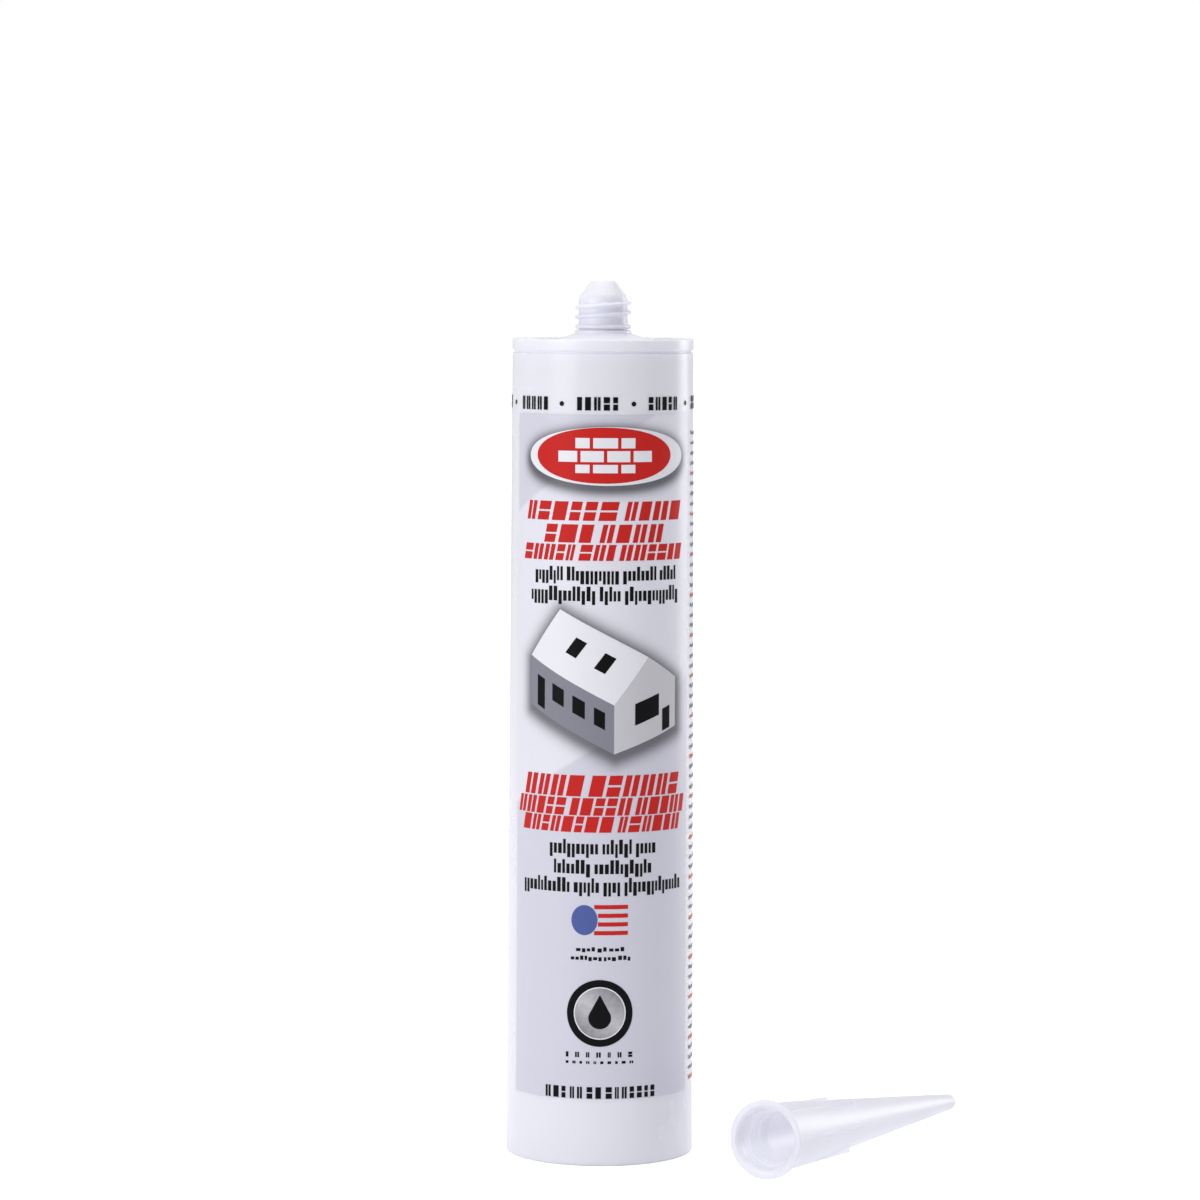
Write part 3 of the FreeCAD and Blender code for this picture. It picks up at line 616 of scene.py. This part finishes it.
class TUBE_OT_barrel(TubeStep, bpy.types.Operator):
    """Turn the barrel with its rim, sunken shoulder and threaded neck"""

    bl_idname = "tube.barrel"
    bl_label = "Barrel"

    def execute(self, context):
        s = self.sizes
        rim_bore = s.rim_radius - s.rim_wall
        rim_foot = s.height - s.rim_height
        shoulder = s.height - 3 * MM
        collar_foot = shoulder + (rim_bore - 7.5 * MM) * math.tan(HEAD_SLOPE)
        corner = (shoulder - 1.8 * MM / math.cos(HEAD_SLOPE)
                  - (s.bore_radius - rim_bore) * math.tan(HEAD_SLOPE))
        under_neck = corner + (s.bore_radius - 4.4 * MM) * math.tan(HEAD_SLOPE)
        tip = s.height + s.neck_height
        cone_foot = tip - 4.5 * MM
        bead = collar_foot + 1.85 * MM
        lower = softened([
            (0, tip - 1.4 * MM, 0),
            (2.4 * MM, tip - 1.4 * MM, 0.3 * MM),
            (4.4 * MM, cone_foot + 0.4 * MM, 0.5 * MM),
            (4.4 * MM, under_neck, 0.8 * MM),
            (s.bore_radius, corner, 1.0 * MM),
            (s.bore_radius, s.mouth_depth + 1 * MM, 0.4 * MM),
            (s.mouth_radius, s.mouth_depth, 0.4 * MM),
            (s.mouth_radius, 0, 0.3 * MM),
            (s.base_radius, 0, 0.6 * MM),
            (s.top_radius, rim_foot - 0.8 * MM, 0.3 * MM),
            (s.top_radius - 0.5 * MM, rim_foot - 0.75 * MM, 0.3 * MM),
            (s.top_radius - 0.5 * MM, rim_foot - 0.1 * MM, 0.3 * MM),
            (s.rim_radius, rim_foot, 0.35 * MM),
            (s.rim_radius, s.height, 0.5 * MM),
            (rim_bore, s.height, 0.4 * MM),
            (rim_bore, shoulder, 0.5 * MM),
            (7.5 * MM, collar_foot, 0.4 * MM),
            (7.5 * MM, collar_foot + 0.9 * MM, 0.2 * MM),
            (s.neck_radius, collar_foot + 0.9 * MM, 0.2 * MM),
            (s.neck_radius, bead - 0.5 * MM, 0.1 * MM),
        ])
        turn = np.linspace(-math.pi / 2, math.pi / 2, 12)
        ring = np.column_stack([
            s.neck_radius + 0.45 * MM + 0.5 * MM * np.cos(turn), bead + 0.5 * MM * np.sin(turn),
        ])
        thread = level_run(s.neck_radius, bead + 0.6 * MM, cone_foot - 1.5 * MM, 0.1 * MM)
        upper = softened([
            (s.neck_radius, cone_foot - 3.1 * MM, 0),
            (s.neck_radius, cone_foot, 1.2 * MM),
            (3.1 * MM, tip, 0.4 * MM),
            (0, tip, 0),
        ], steps=14)[1:]
        profile = np.concatenate([lower, ring, thread, upper])
        angles = np.linspace(0, 2 * math.pi, 256, endpoint=False)
        radius, height = profile[1:-1, :1], profile[1:-1, 1:]
        on_neck = ((radius > s.neck_radius - 0.6 * MM) & (radius < s.neck_radius + 0.01 * MM)
                   & (height > bead + 0.5 * MM))
        rise = ridge(height, angles[None], s.height + 4.4 * MM, 2.3, s.thread_pitch, s.thread_depth)
        points, faces = turned(profile, angles, radius + rise * on_neck)
        white = plastic("Barrel plastic", self.colours.barrel, 0.26, uneven=0.05, bump=0.02,
                        Subsurface_Weight=0.35, Subsurface_Scale=0.003, Subsurface_Radius=(1, 1, 1))
        settle(skin("barrel_moulding", [(points, faces, 0)], [white]), "barrel", "barrel_plastic", "barrel")
        return {"FINISHED"}


class TUBE_OT_piston(TubeStep, bpy.types.Operator):
    """Turn the follower piston and set its ribs"""

    bl_idname = "tube.piston"
    bl_label = "Piston"

    def execute(self, context):
        s = self.sizes
        rest = s.piston_rest
        corner = rest + s.piston_length
        lip = s.bore_radius - 0.05 * MM
        skirt = lip - 0.35 * MM
        bore = skirt - 1.3 * MM
        nose = corner + (skirt - 4.2 * MM) * math.tan(HEAD_SLOPE)
        drop = 1.6 * MM / math.cos(HEAD_SLOPE)

        def under(radius):
            return corner - drop + (skirt - radius) * math.tan(HEAD_SLOPE)

        profile = softened([
            (0, nose - drop, 0),
            (4.2 * MM, nose - drop, 0.2 * MM),
            (4.8 * MM, under(4.8 * MM), 0.2 * MM),
            (4.8 * MM, rest + 8 * MM, 0.2 * MM),
            (6 * MM, rest + 8 * MM, 0.2 * MM),
            (6 * MM, under(6 * MM), 0.4 * MM),
            (bore, under(bore), 0.8 * MM),
            (bore, rest, 0.2 * MM),
            (lip, rest, 0.2 * MM),
            (lip, rest + 1.5 * MM, 0.2 * MM),
            (skirt, rest + 1.85 * MM, 0.2 * MM),
            (skirt, corner - 2.2 * MM, 0.2 * MM),
            (lip, corner - 1.85 * MM, 0.2 * MM),
            (lip, corner - 0.35 * MM, 0.2 * MM),
            (skirt, corner, 0.3 * MM),
            (4.2 * MM, nose, 1.0 * MM),
            (0, nose, 0),
        ])
        angles = np.linspace(0, 2 * math.pi, 192, endpoint=False)
        points, faces = turned(profile, angles)
        inside, outside = 5.4 * MM, bore + 0.65 * MM
        ribs, rib_faces = plates([
            (inside, rest + 8 * MM),
            (outside, rest + 8 * MM),
            (outside, under(outside) + 0.8 * MM),
            (inside, under(inside) + 0.8 * MM),
        ], 1.2 * MM, 0.15 * MM, s.ribs)
        cloudy = plastic("Piston plastic", self.colours.piston, 0.4, uneven=0.06, bump=0.03)
        piece = skin("follower_piston", [(points, faces, 0), (ribs, rib_faces, 0)], [cloudy])
        settle(piece, "piston", "piston_plastic", "piston")
        return {"FINISHED"}


class TUBE_OT_sealant(TubeStep, bpy.types.Operator):
    """Fill the barrel and neck with sealant, whose rear face lies just in front of the piston

    Its wall is one span with no points between its two ends.
    """

    bl_idname = "tube.sealant"
    bl_label = "Sealant"

    def execute(self, context):
        s = self.sizes
        low, high = (value[2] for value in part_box("sealant"))
        skirt = s.bore_radius - 0.4 * MM
        full = s.bore_radius - 0.06 * MM
        gap = 0.3 * MM / math.cos(HEAD_SLOPE)
        corner = s.piston_rest + s.piston_length + gap
        head = (s.height - 3 * MM - 1.95 * MM
                - (s.bore_radius - s.rim_radius + s.rim_wall) * math.tan(HEAD_SLOPE))
        tip = s.height + s.neck_height
        profile = np.concatenate([
            softened([
                (0, corner + (skirt - 4.2 * MM) * math.tan(HEAD_SLOPE), 0),
                (4.2 * MM, corner + (skirt - 4.2 * MM) * math.tan(HEAD_SLOPE), 0.5 * MM),
                (skirt, corner, 0.1 * MM),
                (full, corner, 0.1 * MM),
                (full, corner + 0.25 * MM, 0),
            ]),
            softened([
                (full, head - 0.25 * MM, 0),
                (full, head, 0.1 * MM),
                (4.34 * MM, head + (full - 4.34 * MM) * math.tan(HEAD_SLOPE), 0.3 * MM),
                (4.34 * MM, tip - 4.2 * MM, 0.3 * MM),
                (2.3 * MM, tip - 1.48 * MM, 0.3 * MM),
                (0, tip - 1.48 * MM, 0),
            ]),
        ])
        profile[:, 1] = np.clip(profile[:, 1], low, high)
        points, faces = turned(profile, np.linspace(0, 2 * math.pi, 128, endpoint=False))
        paste = plastic("Sealant paste", self.colours.sealant, 0.45, uneven=0.1, grain=160.0, bump=0.2)
        piece = skin("sealant_filling", [(points, faces, 0)], [paste])
        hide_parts("sealant")
        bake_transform(piece)
        return {"FINISHED"}


class TUBE_OT_nozzle(TubeStep, bpy.types.Operator):
    """Turn the loose nozzle with its fins and inner thread, and lay it down"""

    bl_idname = "tube.nozzle"
    bl_label = "Nozzle"

    def execute(self, context):
        s = self.sizes
        taper = (s.socket_radius - s.tip_radius) / (s.nozzle_length - s.socket_length)
        root = s.neck_radius + s.thread_depth + 0.3 * MM
        inside = softened([
            (0, s.nozzle_length - 1.5 * MM, 0),
            (1.1 * MM, s.nozzle_length - 1.5 * MM, 0.3 * MM),
            (6.4 * MM, 13.4 * MM, 0.3 * MM),
            (root, 12 * MM, 0.3 * MM),
        ])
        thread = level_run(root, 3.5 * MM, 12 * MM, 0.11 * MM)[::-1]
        mouth = softened([
            (root, 3.45 * MM, 0),
            (8.0 * MM, 3.2 * MM, 0.15 * MM),
            (8.0 * MM, 1.3 * MM, 0.3 * MM),
            (8.9 * MM, 0, 0.25 * MM),
            (s.flange_radius, 0, 0.3 * MM),
            (s.flange_radius, 1.2 * MM, 0.3 * MM),
            (s.socket_radius, 1.2 * MM, 1.5 * MM),
            (s.socket_radius, 6 * MM, 0),
        ])
        far = 41.75 * MM
        slopes = np.concatenate([
            np.arange(6.5 * MM, far - 0.6 * MM, 1.5 * MM),
            np.arange(far - 0.5 * MM, far + 1.5 * MM, 0.1 * MM),
            np.arange(far + 2 * MM, s.nozzle_length - 3 * MM, 4 * MM),
        ])
        flank = np.column_stack([s.socket_radius - taper * np.maximum(slopes - s.socket_length, 0), slopes])
        near_tip = s.nozzle_length - 2.9 * MM
        tip = softened([
            (s.socket_radius - taper * (near_tip - s.socket_length), near_tip, 0),
            (s.tip_radius, s.nozzle_length, 0.8 * MM),
            (0, s.nozzle_length, 0),
        ])
        profile = np.concatenate([inside, thread, mouth, flank, tip])
        outer_from = len(inside) + len(thread) + len(mouth) - 14
        sector = 2 * math.pi / max(s.fins, 1)
        half = 0.55 * MM / s.socket_radius
        edge = np.array([-1.25, -1.0, -0.9, -0.6, 0, 0.6, 0.9, 1.0, 1.25]) * half
        between = np.linspace(1.6 * half, sector - 1.6 * half, 22)
        angles = np.sort((
            np.concatenate([edge, between])[None] + np.arange(max(s.fins, 1))[:, None] * sector
        ).reshape(-1))
        angles = np.sort(angles % (2 * math.pi))
        radius, height = profile[1:-1, :1], profile[1:-1, 1:]
        row = np.arange(1, len(profile) - 1)[:, None]
        on_thread = (np.abs(radius - root) < 0.01 * MM) & (row < len(inside) + len(thread) + 3)
        cut = ridge(height, angles[None], 4.175 * MM, 3.2, s.thread_pitch, s.thread_depth) * on_thread
        off = np.abs((angles[None] + sector / 2) % sector - sector / 2) * np.maximum(radius, 6 * MM)
        crown = np.clip((0.68 * MM - off) / (0.18 * MM), 0, 1)
        fin = np.interp(height, [1 * MM, far, far + 1.1 * MM], [9.1 * MM, 8.0 * MM, 6.9 * MM], right=0)
        outside = (row >= outer_from) & (height > 1 * MM) & (height < far + 1.3 * MM)
        above = np.maximum(fin - radius, 0) * crown * outside * (s.fins > 0)
        points, faces = turned(profile, angles, radius - cut + above)

        mount = next(item for item in frame["record"]["mounts"] if item["name"] == "nozzle_mouth")
        along = -np.array(mount["axis"], dtype=float)
        start = np.array(mount["pos_m"], dtype=float) - 2.25 * MM * along
        level = np.array([along[1], -along[0], 0])
        level /= np.linalg.norm(level)
        across = np.cross(along, level)
        points = start + points @ np.array([level, across, along])
        piece = skin("loose_nozzle", [(points, faces, 0)], [nozzle_material(self.colours)])
        settle(piece, "barrel", "nozzle_plastic", "nozzle")
        return {"FINISHED"}


class TUBE_OT_panel(TubeStep, bpy.types.Operator):
    """Print the grey panel that lies under the other inks"""

    bl_idname = "tube.panel"
    bl_label = "Grey panel"

    def execute(self, context):
        sheet = fields([[(-27.4, 17.9), (28.8, 17.9), (28.8, 198.9), (-27.4, 198.9)]], across=90, up=240)
        piece = printed("panel_ink", self.sizes, [(sheet, 1, 0)], [panel_material(self.colours)])
        shade = piece.data.attributes.new("shade", "FLOAT", "POINT")
        shade.data.foreach_set("value", printed_shade(sheet.reshape(-1, 2)).astype(np.float32))
        settle(piece, "barrel", "grey_ink", "print_panel")
        return {"FINISHED"}


class TUBE_OT_oval(TubeStep, bpy.types.Operator):
    """Print the red oval with its bare border and a plain brick motif"""

    bl_idname = "tube.oval"
    bl_label = "Oval"

    def execute(self, context):
        colour = inks(self.colours)
        border = oval_field((1.65, 188.0), (23.25, 7.7))
        red = oval_field((0.6, 188.2), (19.4, 7.35))
        rows = []
        for low, high, edges in ((190.1, 192.8, (-7.6, -2.9, 4.5, 9.2)),
                                 (186.5, 189.4, (-12.4, -6.2, 0.8, 7.8, 14.0)),
                                 (183.6, 185.8, (-7.6, -2.9, 4.5, 9.2))):
            rows += [bars(a + 0.45, b - 0.45, low, high) for a, b in zip(edges, edges[1:])]
        bricks = fields(np.stack(rows), across=8)
        layers = [(border, 2, 0), (red, 3, 1), (bricks, 4, 0)]
        piece = printed("oval_ink", self.sizes, layers, [colour["white"], colour["red"]])
        settle(piece, "barrel", "red_ink", "print_oval")
        return {"FINISHED"}


CABIN_NEAR = (3.4, 109.6)
CABIN_LONG = (-24.1, 12.6)
CABIN_SHORT = (18.9, 6.9)
CABIN_WALL = (0, 12.95)
CABIN_RIDGE = (12.85, 135.1)


def cabin_outline():
    """The outer corners of the picture's cabin, from its near foot round to the right."""
    near, long_side, short_side, wall = (
        np.array(item) for item in (CABIN_NEAR, CABIN_LONG, CABIN_SHORT, CABIN_WALL))
    return [near, near + short_side, near + short_side + wall, np.array(CABIN_RIDGE), CABIN_RIDGE + long_side,
            near + long_side + wall, near + long_side]


HEADINGS = [
    (-22.3, 24.0, 171.1, 176.1, (6, 4)),
    (-15.9, 17.2, 165.3, 170.1, (3, 4)),
    (-23.6, 24.6, 160.6, 164.8, (5, 3, 6)),
    (-22.6, 23.7, 98.4, 104.0, (4, 6)),
    (-25.6, 26.5, 93.4, 98.0, (5, 5, 5)),
    (-23.5, 24.3, 88.9, 93.1, (8, 6)),
]

TEXT_LINES = [
    (-19.4, 22.3, 154.4, 159.0, (8, 12, 8, 5)),
    (-20.9, 23.2, 149.0, 153.8, (15, 5, 14)),
    (-14.1, 15.4, 82.2, 87.0, (11, 7, 5)),
    (-12.8, 14.1, 77.0, 81.6, (8, 12)),
    (-23.3, 24.9, 72.0, 76.8, (12, 6, 4, 15)),
]


class TUBE_OT_headings(TubeStep, bpy.types.Operator):
    """Print the red headings as rows of leaning blocks, and the red bars with their blue ball"""

    bl_idname = "tube.headings"
    bl_label = "Headings"

    def execute(self, context):
        colour = inks(self.colours)
        rows = [word_line(*row[:4], row[4], seed=11 + number, slant=0.22, space=0.6, gap=0.27)
                for number, row in enumerate(HEADINGS)]
        blocks = fields(np.concatenate(rows), across=4)
        tops = 69.7 - np.arange(4) * 2.3
        stripes = fields(
            bars(np.array([-1.6, -0.6, -0.6, -1.6]), np.full(4, 7.4), tops - 1.1, tops, 0), across=12)
        ball = oval_field((-4.2, 65.65), (3.5, 4.0), rings=4, spokes=48)
        layers = [(blocks, 2, 0), (stripes, 2, 0), (ball, 2, 1)]
        piece = printed("heading_ink", self.sizes, layers, [colour["red"], colour["blue"]])
        settle(piece, "barrel", "red_ink", "print_headings")
        return {"FINISHED"}


class TUBE_OT_text(TubeStep, bpy.types.Operator):
    """Print the black lines as rows of small blocks, with the round badge"""

    bl_idname = "tube.text"
    bl_label = "Black lines and badge"

    def execute(self, context):
        colour = inks(self.colours)
        rows = [word_line(*row[:4], row[4], seed=31 + number, space=1.4, gap=0.46, plain=True)
                for number, row in enumerate(TEXT_LINES)]
        small = [
            word_line(-6.4, 6.4, 57.1, 58.5, (4, 2, 3), 51, space=0.7, gap=0.4, plain=True),
            word_line(-7.8, 8.1, 54.8, 56.2, (7, 3, 3), 52, space=0.7, gap=0.4, plain=True),
            word_line(-9.1, 8.8, 29.1, 30.5, (7,), 53, gap=1.9),
            word_line(-9.1, 9.1, 27.4, 28.1, (10,), 54, gap=1.2),
            word_line(-15.1, 15.5, 18.1, 21.2, (3, 2, 2, 7), 55, space=0.9, gap=0.6),
        ]
        blocks = fields(np.concatenate(rows + small), across=3)
        ring = oval_field((0.0, 40.9), (8.8, 8.9), (6.9, 7.0), rings=3)
        disc = oval_field((0.0, 40.9), (6.6, 6.7), rings=8)
        light = oval_field((0.0, 40.9), (6.9, 7.0), (6.6, 6.7), rings=1)
        drop = oval_field((0.0, 39.6), (3.0, 2.9), rings=5, spokes=48)
        point = fields([[(-2.55, 41.1), (2.55, 41.1), (0.12, 45.6), (-0.12, 45.6)]], across=5, up=6)
        layers = [(blocks, 2, 0), (disc, 2, 1), (light, 3, 2), (ring, 3, 0), (drop, 3, 0), (point, 3, 0)]
        piece = printed("text_ink", self.sizes, layers, [colour["black"], badge_material(), colour["white"]])
        settle(piece, "barrel", "black_ink", "print_text")
        return {"FINISHED"}


class TUBE_OT_picture(TubeStep, bpy.types.Operator):
    """Print the picture of a plain cabin, seen from above one corner"""

    bl_idname = "tube.picture"
    bl_label = "Picture"

    def execute(self, context):
        colour = inks(self.colours)

        def on(origin, side, rise):
            """Corners on a slanting plane of the drawing, from shares along its side and up its rise."""
            def place(a, b, c, d):
                shares = ((a, c), (b, c), (b, d), (a, d))
                return [tuple(np.array(origin) + u * np.array(side) + v * np.array(rise)) for u, v in shares]
            return place

        near, long_side, short_side, wall = CABIN_NEAR, CABIN_LONG, CABIN_SHORT, CABIN_WALL
        long_wall = on(np.add(near, long_side), np.negative(long_side), wall)
        end_wall = on(near, short_side, wall)
        ridge_near = CABIN_RIDGE
        ridge_far = tuple(np.add(ridge_near, long_side))
        eaves_near = tuple(np.add(near, wall))
        eaves_far = tuple(np.add(eaves_near, long_side))
        eaves_right = tuple(np.add(eaves_near, short_side))
        far_right = tuple(np.add(eaves_right, long_side))
        roof = [[eaves_far, eaves_near, ridge_near, ridge_far],
                [ridge_far, ridge_near, eaves_right, far_right]]
        gable = [[eaves_near, eaves_right, ridge_near, ridge_near]]
        walls = fields([long_wall(0, 1, 0, 1)], across=24, up=8)
        pale = fields([end_wall(0, 1, 0, 1)] + gable, across=20, up=8)
        slope = on(eaves_far, np.negative(long_side), np.subtract(ridge_near, eaves_near))
        windows = fields([slope(0.3, 0.42, 0.4, 0.72), slope(0.62, 0.74, 0.4, 0.72),
                          long_wall(0.1, 0.2, 0.1, 0.72), long_wall(0.3, 0.44, 0.4, 0.75),
                          long_wall(0.54, 0.68, 0.4, 0.75), long_wall(0.78, 0.9, 0.4, 0.75),
                          end_wall(0.3, 0.68, 0.42, 0.86), end_wall(0.74, 0.88, 0.05, 0.5)], across=5, up=3)
        layers = [(fields(roof, across=26, up=16), 3, 0), (pale, 3, 1), (walls, 3, 2), (windows, 4, 3)]
        pale_ink = ink("Pale grey ink", (0.60, 0.60, 0.64))
        piece = printed("picture_ink", self.sizes, layers,
                        [colour["white"], pale_ink, colour["grey"], colour["black"]])
        settle(piece, "barrel", "grey_ink")
        return {"FINISHED"}


class TUBE_OT_band(TubeStep, bpy.types.Operator):
    """Print the row of words round the top and the small lines at the back"""

    bl_idname = "tube.band"
    bl_label = "Band and small lines"

    def execute(self, context):
        colour = inks(self.colours)
        period = 2 * math.pi * wall_radius(self.sizes, 0.2018) / MM / 4
        words, dots = [], []
        for turn in range(4):
            shift = turn * period
            words.append(word_line(-25.5 + shift, -15.4 + shift, 200.0, 203.5, (5,), 61 + turn, gap=0.55))
            words.append(word_line(-6.8 + shift, 4.0 + shift, 200.0, 203.5, (5,), 71 + turn, gap=0.55))
            dots += [oval_field((-11.1 + shift, 201.7), (0.65, 0.65), rings=2, spokes=20),
                     oval_field((8.3 + shift, 201.7), (0.65, 0.65), rings=2, spokes=20)]
        band = fields(np.concatenate(words), across=4)
        random = np.random.default_rng(5)
        lines, heads = [], []
        for number, height in enumerate(np.arange(193.0, 18.0, -2.7)):
            counts = tuple(random.integers(2, 9, 12))
            end = 70 - random.uniform(0, 10) * (number % 4 == 3)
            line = word_line(31.3, end, height, height + 1.25, counts, 100 + number,
                             space=0.9, gap=0.35, plain=True)
            (heads if number % 4 == 0 and number else lines).append(line)
        layers = [(band, 2, 0), (np.concatenate(dots), 2, 0), (fields(np.concatenate(lines), across=1), 2, 2),
                  (fields(np.concatenate(heads), across=1), 2, 1)]
        small = ink("Small text ink", (0.14, 0.14, 0.16))
        piece = printed("band_ink", self.sizes, layers, [colour["black"], colour["red"], small])
        settle(piece, "barrel", "black_ink", "print_band")
        return {"FINISHED"}


class TUBE_OT_stage(TubeStep, bpy.types.Operator):
    """Set the floor, the lights, the world and the camera"""

    bl_idname = "tube.stage"
    bl_label = "Stage"

    def execute(self, context):
        scene = context.scene
        self.floor(scene)
        self.world(scene)
        self.lamp(scene, "Key", (-1.01, -0.83, 0.56), (0, 0, 0.10), 0.8, 0.75, 6.8)
        self.lamp(scene, "Edge", (0.98, 0.66, 0.36), (0, 0, 0.12), 0.45, 0.7, 2.7)
        self.lamp(scene, "Top", (0.10, 0.12, 1.5), (0, 0, 0.05), 1.4, 1.4, 12.5)
        data = bpy.data.cameras.new("Camera")
        data.lens = 132.567
        data.sensor_width = 36
        data.clip_start = 0.05
        camera = bpy.data.objects.new("Camera", data)
        scene.collection.objects.link(camera)
        camera.matrix_world = (Matrix.Translation((-0.00047, -1.18046, 0.23685))
                               @ Matrix.Rotation(math.radians(85.72), 4, "X")
                               @ Matrix.Rotation(math.radians(0.282), 4, "Z"))
        scene.camera = camera
        scene.view_settings.view_transform = "Standard"
        return {"FINISHED"}

    def floor(self, scene):
        """A wide level floor that shows white, more so farther off, with the soft shadow kept."""
        mesh = bpy.data.meshes.new("Floor")
        reach, low = 12.0, -0.00002
        mesh.from_pydata([(-reach, -reach, low), (reach, -reach, low),
                          (reach, reach, low), (-reach, reach, low)],
                         [], [(0, 1, 2, 3)])
        material = bpy.data.materials.new("Floor")
        material.use_nodes = True
        tree = material.node_tree
        principled = tree.nodes["Principled BSDF"]
        principled.inputs["Base Color"].default_value = (*self.colours.floor, 1)
        principled.inputs["Roughness"].default_value = 0.9
        principled.inputs["Specular IOR Level"].default_value = 0.1
        seen = tree.nodes.new("ShaderNodeLightPath")
        place = tree.nodes.new("ShaderNodeTexCoord")
        away = tree.nodes.new("ShaderNodeVectorMath")
        away.operation = "LENGTH"
        tree.links.new(place.outputs["Object"], away.inputs[0])
        farther = value_node(tree, "MULTIPLY",
                             value_node(tree, "SUBTRACT", away.outputs["Value"], 0.3), 0.5, clamp=True)
        share = value_node(tree, "ADD", value_node(tree, "MULTIPLY", farther, 0.8), 0.45)
        glow = tree.nodes.new("ShaderNodeEmission")
        seen_share = value_node(tree, "MULTIPLY", seen.outputs["Is Camera Ray"], share)
        gloss_share = value_node(tree, "MULTIPLY", seen.outputs["Is Glossy Ray"], 0.3)
        tree.links.new(value_node(tree, "ADD", seen_share, gloss_share), glow.inputs["Strength"])
        total = tree.nodes.new("ShaderNodeAddShader")
        tree.links.new(principled.outputs[0], total.inputs[0])
        tree.links.new(glow.outputs[0], total.inputs[1])
        tree.links.new(total.outputs[0], tree.nodes["Material Output"].inputs["Surface"])
        mesh.materials.append(material)
        floor = bpy.data.objects.new("Floor", mesh)
        scene.collection.objects.link(floor)

    def world(self, scene):
        """An even pale light, which the camera, clear plastic and reflections see as white."""
        world = bpy.data.worlds.new("World")
        world.use_nodes = True
        scene.world = world
        tree = world.node_tree
        background = tree.nodes["Background"]
        background.inputs["Color"].default_value = (1, 1, 1, 1)
        seen = tree.nodes.new("ShaderNodeLightPath")
        direct = value_node(tree, "MAXIMUM",
                            seen.outputs["Is Camera Ray"], seen.outputs["Is Transmission Ray"])
        reflected = value_node(tree, "MULTIPLY", seen.outputs["Is Glossy Ray"], 0.5)
        direct = value_node(tree, "MAXIMUM", direct, reflected)
        strength = value_node(tree, "ADD", value_node(tree, "MULTIPLY", direct, 0.58), 0.42)
        tree.links.new(strength, background.inputs["Strength"])

    def lamp(self, scene, name, place, aim, width, height, power):
        """A soft rectangular lamp that looks at a point."""
        data = bpy.data.lights.new(name, "AREA")
        data.shape = "RECTANGLE"
        data.size, data.size_y = width, height
        data.energy = power
        lamp = bpy.data.objects.new(name, data)
        scene.collection.objects.link(lamp)
        lamp.location = place
        lamp.rotation_euler = (Vector(aim) - Vector(place)).to_track_quat("-Z", "Y").to_euler()


STEPS = (TUBE_OT_barrel, TUBE_OT_piston, TUBE_OT_sealant, TUBE_OT_nozzle, TUBE_OT_panel, TUBE_OT_oval,
         TUBE_OT_headings, TUBE_OT_text, TUBE_OT_picture, TUBE_OT_band, TUBE_OT_stage)


class TUBE_PT_sidebar(bpy.types.Panel):
    """Lists the sizes, the colours and the steps of the build"""

    bl_idname = "TUBE_PT_sidebar"
    bl_label = "Caulk Tube"
    bl_space_type = "VIEW_3D"
    bl_region_type = "UI"
    bl_category = "Caulk Tube"

    def draw(self, context):
        for group in (context.scene.tube_sizes, context.scene.tube_colours):
            box = self.layout.box()
            for name in group.__annotations__:
                box.prop(group, name)
        for step in STEPS:
            self.layout.operator(step.bl_idname)


CLASSES = (TubeSizes, TubeColours, *STEPS, TUBE_PT_sidebar)


def register():
    for item in CLASSES:
        bpy.utils.register_class(item)
    bpy.types.Scene.tube_sizes = PointerProperty(type=TubeSizes)
    bpy.types.Scene.tube_colours = PointerProperty(type=TubeColours)


def unregister():
    del bpy.types.Scene.tube_colours
    del bpy.types.Scene.tube_sizes
    for item in reversed(CLASSES):
        bpy.utils.unregister_class(item)


def main():
    register()
    for step in STEPS:
        group, name = step.bl_idname.split(".")
        getattr(getattr(bpy.ops, group), name)()


if __name__ == "__main__":
    main()
